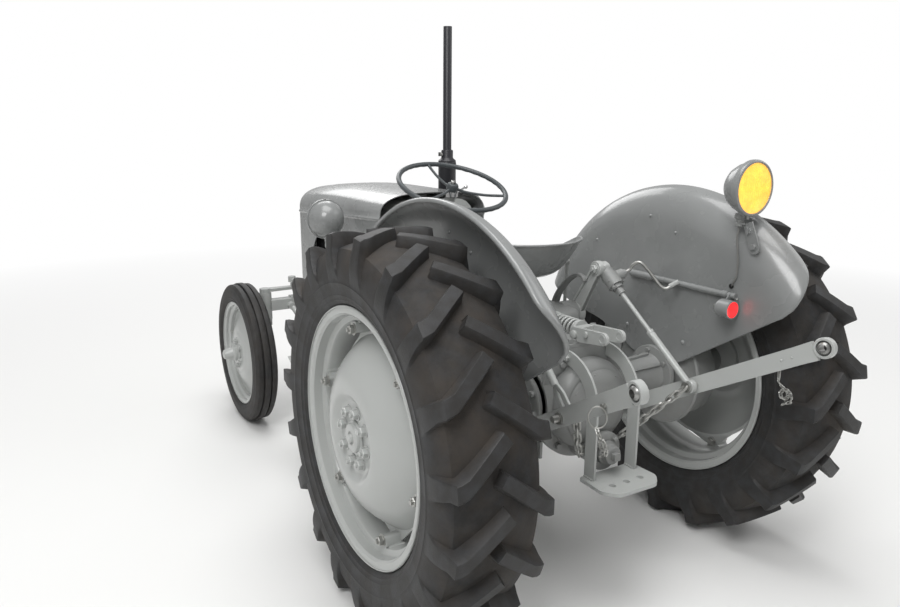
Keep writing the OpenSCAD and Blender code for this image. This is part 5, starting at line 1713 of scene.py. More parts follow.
@dataclass
class SteeringWheel:
    """Steering wheel: a rim with finger bumps, three thin spokes and a hub, with the throttle lever beside it."""

    middle: Triple = (0.0, 729.7, 1220.2)
    radius: float = 216.0
    tube: float = 10.0
    tilt: float = 20.6
    column: float = 450.0
    cross_shaft: Pair = (925.0, 790.0)
    spoke: tuple[Pair, ...] = ((18, -8), (60, -15), (130, -13), (186, -5), (212, 0))

    def rim(self) -> Array:
        """Rim: a ring whose tube swells and shrinks slightly round it, most on the underside.

        Returns:
            Rows by columns by three, about the origin.
        """
        turn = np.arange(180) * 2 * math.pi / 180
        tube = np.arange(20) * 2 * math.pi / 20
        under = np.clip(-np.sin(tube), 0, 1)[None] * (0.5 + 0.5 * np.cos(turn * 36))[:, None]
        r = self.tube * (1 - 0.14 * under)
        reach = self.radius + r * np.cos(tube)
        return np.stack([reach * np.cos(turn)[:, None], reach * np.sin(turn)[:, None], r * np.sin(tube)], axis=-1)

    def build(self, shop: Workshop) -> None:
        """Makes the wheel, then the column.

        Args:
            shop: the workshop.
        """
        form = Form(DARK_GRIP).grid(self.rim(), True, True)
        for angle in np.radians((90, 210, 330)):
            d = np.array((math.cos(angle), math.sin(angle)))
            spoke = smooth([(*(reach * d), z) for reach, z in self.spoke], 5)
            form.rod(spoke, 5.4, up=(-d[1], d[0], 0))
        form.turned([(0, -25), (20, -24), (24, -16), (24, 2), (20, 10), (14, 13), (0, 13)], axis=Axis.Z, count=32)
        form.turned([(0, 12), (11, 12), (11, 22), (8, 24), (0, 24)], axis=Axis.Z, count=6, finish=STEEL)
        wheel = form.spun(self.tilt)
        shop.piece("steering_wheel_rim", Form(DARK_GRIP).join(wheel, self.middle), "steering_wheel",
                   ["steering_wheel"])
        self.build_column(shop)

    def build_column(self, shop: Workshop) -> None:
        """Makes the column with its box, and the throttle lever at its top.

        Args:
            shop: the workshop.
        """
        lean = math.radians(self.tilt)
        axis = np.array((0.0, math.sin(lean), -math.cos(lean)))
        top, foot = np.array(self.middle) + 34 * axis, np.array(self.middle) + self.column * axis
        column = Form(CAST).rod([top, foot], 21.0, count=28).rod([foot - 96 * axis, foot], 32.0, count=32)
        column.rod([top - 4 * axis, top + 14 * axis], 24.0, count=28)
        column.block((-68, 850, 745), (68, 962, 842)).block((-60, 858, 842), (60, 930, 868))
        for x in (-50, 50):
            for bolt_y in (868, 920):
                column.bolt((x, bolt_y, 868), (0, 0, 1), 19)
        y, z = self.cross_shaft
        cap = Form(CAST).rod([(60, y, z), (163, y, z)], 26.0, count=28)
        cap.turned([(0, 66), (44, 66), (44, 76), (38, 82), (0, 82)], (0, y, z), Axis.X, 32)
        cap.rod([(60, y, z), (209, y, z)], 14.0, STEEL)
        for spot in circle(4, 0.8) * 36:
            cap.bolt((76, y + spot[0], z + spot[1]), (1, 0, 0), 13)
        column.join(cap.both())
        shop.piece("steering_column_cast", column, "chassis", ["steering_column"])
        ahead = np.array((0.0, math.cos(lean), math.sin(lean)))
        tip = top + (104, 0, 0) + 58 * ahead
        bends = [top, top + (30, 0, 0) + 14 * ahead, top + (72, 0, 0) + 38 * ahead, tip]
        lever = Form(CHROME).rod(smooth(bends, 5), 4.0)
        lever.ball(tip, 8.0).turned([(24.5, -10), (28, -10), (28, 10), (24.5, 10)], top, Axis.Z, 24, True)
        shop.piece("throttle_lever", lever, "chassis")


@dataclass
class Stack:
    """Upright exhaust: elbow, silencer, collar and a thin pipe, black."""

    x: float = 313.0
    y: float = 1300.0
    port_z: float = 852.0
    collar_z: float = 1290.0
    top_z: float = 1895.0
    pipe: float = 20.0
    silencer: float = 42.0

    def build(self, shop: Workshop) -> None:
        """Makes the stack.

        Args:
            shop: the workshop.
        """
        z0, c, p, s = self.port_z, self.collar_z, self.pipe, self.silencer
        elbow = np.insert(arc((self.x - 34, z0 + 34), 34, -90, 0, 8), 1, self.y, axis=1)
        bend = np.vstack([[(197.0, self.y, z0)], elbow, [(self.x, self.y, z0 + 66)]])
        form = Form(BLACK).rod(bend, 22.0, count=32, up=(0, 1, 0))
        profile = np.vstack([beside((0, z0), (0, 40), (30, 44), (s - 3, 50), (s, 56)),
                             beside((s, c), (0, -22), (1.2, -20), (1.2, -12), (0, -10), (0, -2), (-4, 3)),
                             [(31, c + 8), (29, c + 12)],
                             beside((p, c), (8, 14), (8, 44), (6, 48), (0.6, 50), (0, 52)),
                             beside((p, self.top_z), (0, -1), (-0.6, 0), (-1.8, -1), (-2, -110)),
                             [(0, self.top_z - 112)]])
        form.turned(profile, (self.x, self.y, 0), Axis.Z, 48)
        form.block(*beside((self.x, self.y, c), (-46, -4, 20), (-20, 4, 38)))
        form.bolt((self.x - 36, self.y - 4, c + 29), (0, -1, 0), 13, finish=ZINC)
        shop.piece("exhaust_pipe", form, "chassis", ["exhaust_stack"])


# REAR LINKAGE


@dataclass
class Linkage:
    """Places that the linkage's pieces share, in millimetres, at rest with the links raised."""

    pivot: Triple = (190.0, 60.0, 448.0)
    ball: Triple = (352.0, -683.1, 866.7)
    pin: Triple = (273.2, -321.6, 663.0)
    arm_shaft: Triple = (180.0, 170.0, 805.0)
    arm_end: Triple = (180.0, 62.8, 982.1)
    rod_top_x: float = 205.0
    rod_low_x: float = 243.2
    eye: float = 30.0
    bar: float = 26.0
    bar_t: float = 14.0
    ball_width: float = 35.0
    ball_bore: float = 11.2
    chain_eye: Triple = (66.0, -182.0, 470.0)
    slack: Pair = (62.0, 3.0)  # of the left and of the right check chain

    def frame(self) -> tuple[Array, Array, Array]:
        """Unit vectors along the link, across its flat side (mostly +X) and up its width.

        Returns:
            The three vectors.
        """
        along = np.array(self.ball) - np.array(self.pivot)
        along /= np.linalg.norm(along)
        up = np.array((0.0, along[2], -along[1]))
        up /= np.linalg.norm(up)
        across = np.cross(up, along)
        return along, across / np.linalg.norm(across) * np.sign(across[0]), up

    def link(self, side: Side) -> Form:
        """Lower link: a flat bar with an eye at each end, and the ball that the rear eye holds.

        Args:
            side: side of the tractor.

        Returns:
            The form, on the right.
        """
        along, across, _ = self.frame()
        start, end = np.array(self.pivot), np.array(self.ball)
        length = float(np.linalg.norm(end - start))
        b, e, t = self.bar, self.eye, self.bar_t / 2
        half = t + 4
        web = np.array([(26, b), (length * 0.5, b), (length - 70, b + 1), (length - e * 0.9, e * 0.94),
                        (length - e * 0.9, -e * 0.94), (length - 70, -b - 1), (length * 0.5, -b), (26, -b)])
        bar = Form().prism(np.vstack([web, arc((0, 0), b, 270, 90, 12)]), -t, t, Axis.Z)
        bar.turned([(12.5, -half), (b + 2, -half), (b + 3, -t), (b + 3, t), (b + 2, half), (12.5, half)],
                   axis=Axis.Z, ring=True)
        rim = beside((e, 0), (-8, -half), (-2, -half), (0, 2 - half), (0, half - 2), (-2, half), (-8, half), (-9, 0))
        bar.turned(rim, (length, 0, 0), Axis.Z, 48, True)
        bore, width = self.ball_bore, self.ball_width / 2
        reach = math.hypot(bore, width)
        turn = np.arctan2(np.array([-width, width]), bore)
        sphere = np.stack([reach * np.cos(np.linspace(*turn, 15)), reach * np.sin(np.linspace(*turn, 15))], axis=1)
        bar.turned(np.vstack([sphere, [(bore, width), (bore, -width)]]), (length, 0, 0), Axis.Z, 48, True, STEEL)
        placed = bar.posed(start, along, across)
        if side is Side.RIGHT:
            for back in (96, 128):
                placed.ball(start + (length - back) * along - across * t, 4.0, count=10)
        return placed

    @staticmethod
    def eye_ring(x: float, at: Point, radius: float, bore: float, width: float) -> Form:
        """Round eye across X.

        Args:
            x: its middle.
            at: Y and Z of its centre.
            radius: outer radius.
            bore: inner radius.
            width: its width.

        Returns:
            The form.
        """
        w = width / 2
        profile = [(bore, -w), (radius - 2, -w), (radius, -w + 2), (radius, w - 2), (radius - 2, w), (bore, w)]
        return Form().turned(profile, (x, *at), Axis.X, 36, True)

    def lift_rod(self, side: Side) -> Form:
        """Lift rod: eyes on the arm's pin and beside the link, thin above and thick below; the right one has its
        levelling box and crank, and the left one a long fork.

        Args:
            side: side of the tractor.

        Returns:
            The form, on the right.
        """
        top = np.array((self.rod_top_x, *self.arm_end[1:]))
        low = np.array((self.rod_low_x, *self.pin[1:]))
        down = (low - top) / np.linalg.norm(low - top)
        length = float(np.linalg.norm(low - top))

        def at(u: float) -> Array:
            """Point of the rod's line at a share of its length."""
            return top + u * length * down

        fork = side is Side.LEFT
        form = self.eye_ring(self.rod_low_x, self.pin[1:], 21, 10.5, 20)
        form.rod([at(0.56), at(0.80 if fork else 0.965)], 11.5, count=24).rod([at(0.555), at(0.575)], 13.0, count=24)
        form.rod([at(0.575), at(0.60)], 12.4, count=6)
        form.join(self.eye_ring(self.rod_top_x, self.arm_end[1:], 23, 10.3, 22))
        if fork:
            form.rod([at(0.05), at(0.57)], 10.0, count=20)
            across = np.cross((1.0, 0.0, 0.0), down)
            for sign in (1, -1):
                prong = [at(0.785), at(0.83) + sign * 9 * across, at(0.88) + sign * 14 * across,
                         at(0.965) + sign * 14 * across]
                form.swept(smooth(prong, 6), rounded(oblong(8, 4.5), 3, 2), up=(1, 0, 0))
            return form
        form.rod([at(0.19), at(0.57)], 7.5, count=20)
        box = Form(CAST)
        for first, last, radius, count in ((0.035, 0.075, 25.0, 28), (0.07, 0.165, 28.5, 32), (0.16, 0.19, 20.0, 28),
                                           (0.185, 0.235, 13.5, 24)):
            box.rod([at(first), at(last)], radius, count=count)
        middle = at(0.10)
        box.rod(beside(middle, (0, 0, 0), (46, -4, 14)), 19.0, count=24)
        box.rod(beside(middle, (44, -4, 13.5), (58, -5, 17.5)), 12.0, count=20)
        for step in (0.09, 0.145):
            box.bolt(at(step) + (-20, -18, -6), (-0.74, -0.64, -0.2), 12, 7)
        hub = middle + (56, -5, 17)
        crank = beside(hub, (0, 0, 0), (16, -6, 10), (26, -16, 30), (40, -34, 36), (58, -66, 2), (72, -96, -34),
                       (84, -112, -44), (100, -122, -34), (112, -134, -22))
        form.join(box).rod(smooth(crank, 7), 5.5, ZINC, 14)
        return form.rod(beside(hub, (96, -118, -36), (116, -138, -18)), 8.0, count=16)

    def arms(self) -> Form:
        """Lift arms on their cross shaft, each forged flat with ribs along its edges.

        Returns:
            The form, with both sides.
        """
        y0, z0 = self.arm_shaft[1:]
        y1, z1 = self.arm_end[1:]
        length = math.hypot(y1 - y0, z1 - z0)
        arm = Form()
        grow = np.linspace(0, 1, 9)
        wide = 30 - 11 * grow ** 0.8
        outline = np.vstack([np.stack([grow * length, wide], axis=1), np.stack([grow * length, -wide], axis=1)[::-1]])
        arm.prism(outline, -5.5, 5.5, Axis.Z)
        for sign in (1, -1):
            rib = np.stack([grow * length, sign * (wide - 4)], axis=1)
            band = np.vstack([rib + (0, 4), (rib - (0, 4))[::-1]])
            arm.prism(band, -10, 10, Axis.Z)
        arm.turned([(12, -16), (40, -16), (42, -13), (42, 13), (40, 16), (12, 16)], axis=Axis.Z, ring=True)
        arm.turned([(9, -11), (25, -11), (27, -9), (27, 9), (25, 11), (9, 11)], (length, 0, 0), Axis.Z, 36, True)
        along = np.array((0.0, y1 - y0, z1 - z0)) / length
        arms = arm.posed(self.arm_shaft, along, (1, 0, 0))
        x0, x1 = self.arm_shaft[0], self.arm_end[0]
        arms.rod([(x0 + 12, y0, z0), (x0 + 20, y0, z0)], 21.0, count=24)
        arms.bolt((x0 + 20, y0, z0), (1, 0, 0), 22, finish=PAINT)
        arms.rod([(x1 - 14, y1, z1), (self.rod_top_x + 18, y1, z1)], 9.9, ZINC, 20)
        arms.bolt((self.rod_top_x + 13, y1, z1), (1, 0, 0), 26, 10)
        arms.bolt((x1 - 11, y1, z1), (-1, 0, 0), 26, 12, 6)
        return arms.both().rod([(-x0, y0, z0), (x0, y0, z0)], 24.5, STEEL, 32)

    @staticmethod
    def chain(path: Array, size: float, wire: float) -> Form:
        """Chain: oval links along a path, each turned a quarter round from the one before.

        Args:
            path: the chain's line.
            size: inner length of a link.
            wire: radius of its wire.

        Returns:
            The form.
        """
        run = np.concatenate([[0], np.cumsum(np.linalg.norm(np.diff(path, axis=0), axis=1))])
        count = max(int(run[-1] / size), 1)
        marks = np.linspace(0, run[-1], count + 1)
        knots = np.stack([np.interp(marks, run, path[:, k]) for k in range(3)], axis=1)
        half = size / 2 - wire
        oval = np.vstack([arc((half, 0), wire * 2.1, -90, 90, 6), arc((-half, 0), wire * 2.1, 90, 270, 6)])
        form = Form(ZINC)
        for number in range(count):
            a, b = knots[number], knots[number + 1]
            along = (b - a) / np.linalg.norm(b - a)
            side = np.cross(along, (0.31, 0.42, 0.85))
            side /= np.linalg.norm(side)
            other = np.cross(along, side)
            tilt = math.radians(45 + 90 * (number % 2) + 9 * math.sin(number * 1.7))
            flat = math.cos(tilt) * side + math.sin(tilt) * other
            loop = (a + b) / 2 + oval[:, :1] * along * (1 + 1.6 * wire / size) + oval[:, 1:] * flat
            form.loop(loop, wire * circle(8), up=tuple(np.cross(along, flat)))
        return form

    def pin_form(self) -> Form:
        """Pin through the link and the lift rod's eye, with its head and a washer, and the tethered linch pin.

        Returns:
            The form, on the right.
        """
        x0, (x1, y, z) = self.rod_low_x - 16, self.pin
        form = Form(ZINC).rod([(x0, y, z), (x1 + 34, y, z)], 10.2, count=20)
        form.turned([(0, -4), (17, -4), (17, 1), (0, 1)], (x0 - 2, y, z), Axis.X, 24)
        form.turned([(10.6, -2), (18, -2), (18, 2), (10.6, 2)], (x1 + 11, y, z), Axis.X, 24, True)
        return form.join(self.tether())

    def tether(self) -> Form:
        """Linch pin that hangs by its ring from a bracket on the link, with the slack of its thin chain.

        Returns:
            The form, on the right.
        """
        along, across, up = self.frame()
        pin = np.array(self.pin)
        spot = pin + 0.64 * (np.array(self.ball) - pin) + 9 * across - 6 * up
        form = Form(ZINC).rod([spot - 5 * across, spot + 9 * across], 6.5, count=16)
        form.rod([spot + 6 * across - 11 * along, spot + 6 * across + 13 * along], 4.0, count=14)
        flat = np.array((-0.75, -0.66, 0.0))
        middle = spot + 19 * across + (0, 0, -27)
        turn = np.radians(np.arange(0, 360, 10))[:, None]
        ring = middle + 23 * np.cos(turn) * flat + np.sin(turn) * np.array((0.0, 0.0, 29.0))
        form.loop(ring, 2.2 * circle(8), up=(0.66, -0.75, 0.0))
        slack = beside(middle + (0, 0, -29), (0, 0, 0), (4, -12, -14), (5, -28, -22), (3, -34, -40), (1, -20, -48),
                       (0, -10, -34), (4, -22, -18), (7, -40, -28), (6, -44, -50), (3, -30, -58), (2, -20, -66))
        return form.join(self.chain(smooth(slack, 6), 13.0, 1.8))

    @property
    def chain_hook(self) -> Triple:
        """Where the check chain holds the link's pin."""
        return (self.rod_low_x - 24, *self.pin[1:])

    def check_chain(self, slack: float) -> Form:
        """Check chain from an eye on the housing's rear to the link's pin. It hangs as a parabola: four times the
        slack, times the share of the way, times the rest of the way.

        Args:
            slack: how far its middle hangs below the straight line.

        Returns:
            The form, on the right.
        """
        share = np.linspace(0, 1, 40)[:, None]
        start, end = np.array(self.chain_eye), np.array(self.chain_hook)
        line = start + share * (end - start) - np.array((0, 0, 4 * slack)) * share * (1 - share)
        return self.chain(line, 30.0, 4.2).rod([start + (0, 20, 1), start - (0, 6, 0)], 6.0, count=16)

    def build(self, shop: Workshop) -> None:
        """Makes links, rods, arms and chains.

        Args:
            shop: the workshop.
        """
        for side in Side:
            word = side.word
            shop.piece(f"lower_link_bar_{word}", self.link(side).on(side), f"lower_link_{word}",
                       [f"lower_link_{word}"])
            shop.piece(f"lift_rod_steel_{word}", self.lift_rod(side).on(side), f"lift_rod_{word}",
                       [f"lift_rod_{word}"])
            shop.piece(f"lower_link_pin_{word}", self.pin_form().on(side), f"lower_link_{word}")
            chain = self.check_chain(self.slack[side is Side.RIGHT]).on(side)
            ends = np.array([self.chain_eye, self.chain_hook]) * np.array((side.value, 1.0, 1.0))
            shop.bridge(f"check_chain_{word}", chain, ("chassis", f"lower_link_{word}"), ends)
        shop.piece("lift_arms_forged", self.arms(), "lift_arms", ["lift_arms"])


# REAR END


@dataclass
class Rear:
    """Rear axle housing with its trumpets, the lift cover, the draft spring, the power shaft cap and the drawbar."""

    axle_z: float = 590.0
    pivot: Pair = (60.0, 448.0)
    barrel: float = 190.0
    half: float = 169.0
    cover_z: float = 778.0
    cover_top: float = 845.0
    cover_half: float = 150.0
    flange_y: float = -100.0
    dome_y: float = -166.0
    face_y: float = -165.0
    shaft_z: float = 456.0
    backplate_x: float = 436.0
    backplate_radius: float = 190.0
    spring_z: float = 822.0
    spring_radius: float = 26.0
    spring_wire: float = 4.6
    turns: float = 6.5
    rocker_foot: Pair = (-88.0, 816.0)
    rocker_pin: Pair = (-216.0, 830.0)
    strap_x: float = 85.0
    plate_z: float = 384.0
    plate_half: float = 112.0
    plate_thickness: float = 12.0
    hole_y: float = -315.0
    hole_pitch: float = 57.0
    hole_radius: float = 10.5

    def housing(self) -> Form:
        """Housing: a barrel across the tractor with flanges and bolts, a round rear cover and the shaft's boss.

        Returns:
            The form.
        """
        z = self.axle_z
        form = Form(CAST)
        turn = np.radians(np.linspace(0, 360, 97)[:-1])
        ring = np.stack([self.barrel * np.sin(turn), self.barrel * np.cos(turn)], axis=1)
        flange, face = self.flange_y, self.dome_y
        for y0, y1, grow in ((flange, -82, 1.0), (-82, 150, 0.955), (150, 174, 1.0)):
            flat = ring * grow
            flat[:, 0] = np.clip(flat[:, 0], -self.half, self.half)
            flat[:, 1] = np.minimum(flat[:, 1], self.cover_z - z - 1)
            form.prism(flat + np.array((0, z)), y0, y1, Axis.Y)
        dome = [(0, face), (108, face), (122, -163), (134, -154), (146, -138), (150, -124), (150, flange),
                (0, flange)]
        form.turned(dome, (0, 0, z), Axis.Y, 72)
        form.turned([(0, -184), (84, -184), (98, -182), (112, -176), (124, face), (0, face)], (0, 0, z), Axis.Y, 64)
        form.turned([(128, 20), (128, 168), (122, 169.5), (0, 169.5), (0, 20)], (0, 0, z), Axis.X, 64)
        form.turned([(128, -168), (128, -20), (0, -20), (0, -169.5), (122, -169.5)], (0, 0, z), Axis.X, 64)
        form.block((-self.cover_half, -104, z + 110), (self.cover_half, 172, self.cover_z - 0.4))
        for spot in circle(10, 0.3):
            x, dz = 170 * spot
            if abs(x) < self.half - 14 and dz < 150:
                form.bolt((x, flange, z + dz), (0, -1, 0), 20, 13)
        for spot in circle(8, 0.2):
            form.bolt((108 * spot[0], face, z + 108 * spot[1]), (0, -1, -0.05), 15, 10)
        for x in (-150, 0, 150):
            form.block((x - 5, -80, z - 178), (x + 5, 148, z - 120))
        boss = beside((0, self.face_y), (0, -50), (60, -50), (64, -46), (64, -34), (54, -30))
        form.turned(np.vstack([boss, [(56, flange), (0, flange)]]), (0, 0, self.shaft_z), Axis.Y, 48)
        for spot in circle(4, math.pi / 4):
            form.bolt((50 * spot[0], self.face_y - 50, self.shaft_z + 50 * spot[1]), (0, -1, 0), 16, 11)
        horn = [(0, 100), (42, 100), (33, 130), (31, 166), (29, 171.5), (0, 171.5)]
        y, z = self.pivot
        arm = Form(CAST).turned(horn, (0, y, z), Axis.X, 36)
        arm.rod([(170, y, z), (216, y, z)], 10.9, STEEL, 24).bolt((206, y, z), (1, 0, 0), 24, 14, finish=ZINC)
        return form.join(arm.both())

    def trumpet(self) -> Form:
        """Axle trumpet: flange with bolts, a tapered tube, and the brake's backplate with its ribs.

        Returns:
            The form, with both sides.
        """
        middle = (0, 0, self.axle_z)
        tube = [(0, 170), (104, 170), (104, 182), (100, 185), (74, 187), (64, 192), (59, 204), (58, 230), (61, 300),
                (66, 376), (74, 390), (98, 397), (100, 401), (100, 414.6), (0, 414.6)]
        form = Form(CAST).turned(tube, middle, Axis.X, 64)
        b, r = self.backplate_x, self.backplate_radius
        plate = np.vstack([[(0, 405), (63, 405)], beside((0, b), (63, 0), (112, 0), (118, -3), (126, -3), (132, 0)),
                           beside((r, b), (-16, 0), (-6, -3), (0, 1), (0, 9), (-2, 11), (-7, 11), (-9, 8)),
                           [(22, b + 8), (22, 670), (0, 672)]])
        form.turned(plate, middle, Axis.X, 80)
        for spot in circle(8, 0.2) * 86:
            form.bolt((184, spot[0], self.axle_z + spot[1]), (1, 0, 0), 19, 12)
        for spot in circle(6, 0.4) * 84:
            form.bolt((397, spot[0], self.axle_z + spot[1]), (-1, 0, 0), 17, 11)
        for angle in np.radians((40, 90, 140)):
            out_y, out_z = math.cos(angle), math.sin(angle)
            y, z = 59 * out_y, self.axle_z + 59 * out_z
            form.swept([(190, y, z), (260, y, z), (385, y * 1.12, z + 6)],
                       np.array([(-4, -12), (4, -12), (4, 9), (-4, 9)]), up=(0, out_y, out_z),
                       scale=np.array([1.6, 0.9, 1.2]))
        return form.both()

    def cover(self) -> Form:
        """Lift cover: a bolted flange, a rounded body that narrows to the rear, and the cross shaft's bosses.

        Returns:
            The form.
        """
        form = Form(CAST)
        half = self.cover_half
        flat = rounded([(-half, -104), (half, -104), (half, 299), (-half, 299)], 14)
        form.prism(flat, self.cover_z, self.cover_z + 12, Axis.Z)
        rows = []
        for share, inset in ((0, 0.0), (0.35, 1.0), (0.7, 3.5), (0.9, 9.0), (1.0, 18.0)):
            ring = rounded(oblong(130 - inset, 114 - inset) + (0, 175), 34, 5)
            height = self.cover_z + 11 + share * (self.cover_top - self.cover_z - 11)
            rows.append(np.hstack([ring, np.full((len(ring), 1), height)]))
        form.grid(np.array(rows))
        form.block((-66, -96, self.cover_z + 10), (66, 70, self.cover_z + 26))
        boss = [(25.4, 108), (46, 108), (46, 160), (43, 168.6), (25.4, 168.6)]
        hub = Form(CAST).turned(boss, (0, 170, 805), Axis.X, 48, True)
        side = [(138, y) for y in (-84, -30, 24, 80, 250, 284)]
        for x, y in side + [(x, y) for x in (40, 88) for y in (-92, 292)]:
            hub.bolt((x, y, self.cover_z + 12), (0, 0, 1), 19, 13)
        form.join(hub.both())
        form.turned([(0, 844), (26, 844), (26, 852), (20, 856), (20, 862), (0, 864)], (60, 240, 0), Axis.Z, 28)
        hook = smooth([(164, 268, 790), (164, 262, 830), (165, 238, 876), (166, 194, 922), (166, 152, 946),
                       (166, 122, 945), (166, 108, 930)], 5)
        taper = np.linspace(1.25, 0.62, len(hook))
        return form.swept(hook, rounded(oblong(7, 13), 4, 2), up=(1, 0, 0.01), scale=taper)

    def spring(self) -> Form:
        """Draft spring: an open coil between two plates, on a rod, and the rocker that pushes it. The coil is a helix
        about Y: its angle and its place along Y grow evenly together.

        Returns:
            The form.
        """
        y0, y1 = self.rocker_foot[0] + 18, 60.0
        u = np.linspace(0, 1, int(self.turns * 22))
        angle = 2 * math.pi * self.turns * u
        r = self.spring_radius
        path = np.stack([r * np.cos(angle), y0 + 4 + (y1 - y0 - 8) * u, self.spring_z + r * np.sin(angle)], axis=1)
        form = Form().rod(path, self.spring_wire, count=12, up=(0, 1, 0))
        form.rod([(0, y0 - 10, self.spring_z), (0, y1, self.spring_z)], 9.0, STEEL, 20)
        for plate in (beside((0, y1), (0, -6), (31, -6), (33, -3), (33, 1), (0, 1)),
                      beside((0, y0), (0, -4), (31, -4), (31, 4), (0, 4))):
            form.turned(plate, (0, 0, self.spring_z), Axis.Y, 36)
        foot, pin = np.array(self.rocker_foot), np.array(self.rocker_pin)
        tip = math.degrees(math.atan2(pin[1] - foot[1], pin[0] - foot[0]))
        outline = np.vstack([arc(pin, 20, tip - 90, tip + 90, 12), arc(foot, 24, tip + 90, tip + 270, 12)])
        cheek = Form().prism(outline, 28, 40)
        cheek.turned([(9.9, 26.5), (16, 26.5), (16, 42), (9.9, 42)], (0, *pin), Axis.X, 32, True)
        cheek.turned([(0, 40), (13, 40), (13, 46), (8, 49), (0, 49)], (0, *foot), Axis.X, 28)
        cheek.turned([(0, 40), (10, 40), (10, 47), (0, 48)], (0, foot[0] - 56, foot[1] + 12), Axis.X, 24)
        form.join(cheek.both())
        form.block((-28, foot[0] - 12, self.cover_z + 12), (28, foot[0] + 16, self.cover_z + 60))
        form.rod([(-40, *foot), (40, *foot)], 11.0, count=24)
        return form

    def cap(self) -> Form:
        """Power shaft cap: a stepped cup with a square end.

        Returns:
            The form.
        """
        y = self.face_y - 50
        cup = beside((0, y), (0, -40), (26, -40), (30, -37), (31, -18), (34, -15), (38, -14), (38, -1), (0, -1))
        form = Form(CAST).turned(cup, (0, 0, self.shaft_z), Axis.Y, 40)
        return form.prism(rounded(oblong(12, 12), 3, 2) + (0, self.shaft_z), y - 57, y - 39, Axis.Y)

    def drawbar(self) -> Form:
        """Drawbar: straps that curve down from the housing's top to a plate with three holes.

        Returns:
            The form, with both sides.
        """
        top = (-105.0, self.axle_z + 28)
        outer = np.vstack([arc(top, 160, 90, 180, 20), [(-265, self.plate_z + 11)]])
        form = Form().prism(wall(outer, 46), self.strap_x - 4, self.strap_x + 4)
        form.bolt((self.strap_x + 4, -118, self.axle_z + 165), (1, 0, 0), 19)
        both = form.both()
        end = self.plate_half
        edge = rounded([(-end, -220), (end, -220), (end, -330), (76, -370), (-76, -370), (-end, -330)], 16, 4)
        both.join(self.plate(edge, self.hole_pitch * np.array([-1.0, 0.0, 1.0])))
        for x in (-self.strap_x, self.strap_x):
            both.block((x - 9, -262, self.plate_z + 11), (x + 9, -222, self.plate_z + 17))
        return both

    def plate(self, edge: Array, holes: Array) -> Form:
        """Plate with round holes on one line across it: a bar on each side of that line. A bar's inner edge rises at
        a hole by the root of the hole's radius squared less the distance from its centre squared.

        Args:
            edge: the plate's outline.
            holes: X of the holes' centres.

        Returns:
            The plate.
        """
        y, r, low, high = self.hole_y, self.hole_radius, self.plate_z, self.plate_z + self.plate_thickness
        rims = holes[:, None] + r * np.cos(np.linspace(0, math.pi, 13))
        x = np.unique(np.concatenate([np.linspace(-self.plate_half, self.plate_half, 57), rims.ravel()]))
        off = np.minimum(np.abs(x[:, None] - holes).min(axis=1), r)
        rise = np.sqrt(r ** 2 - off ** 2)
        form = Form()
        for part, inner in ((edge[edge[:, 1] > y], y + rise), (edge[edge[:, 1] <= y], y - rise)):
            part = part[np.argsort(part[:, 0])]
            outer = np.interp(x, part[:, 0], part[:, 1])
            corners = ((outer, low), (inner, low), (inner, high), (outer, high))
            form.grid(np.stack([np.stack([x, line, np.full(len(x), z)], axis=1) for line, z in corners], axis=1))
        return form

    def build(self, shop: Workshop) -> None:
        """Makes the pieces of the rear end.

        Args:
            shop: the workshop.
        """
        for name, form, node, bevel in (("rear_housing_cast", self.housing(), "rear_housing", 2.0),
                                        ("axle_trumpets_cast", self.trumpet(), "axle_trumpets", 0.0),
                                        ("lift_cover_cast", self.cover(), "lift_cover", 1.5),
                                        ("draft_spring_coil", self.spring(), "draft_spring", 0.8),
                                        ("shaft_cap_cast", self.cap(), "shaft_cap", 0.8),
                                        ("drawbar_steel", self.drawbar(), "drawbar_hitch", 0.8)):
            shop.piece(name, form, "chassis", [node], bevel)


# STUDIO


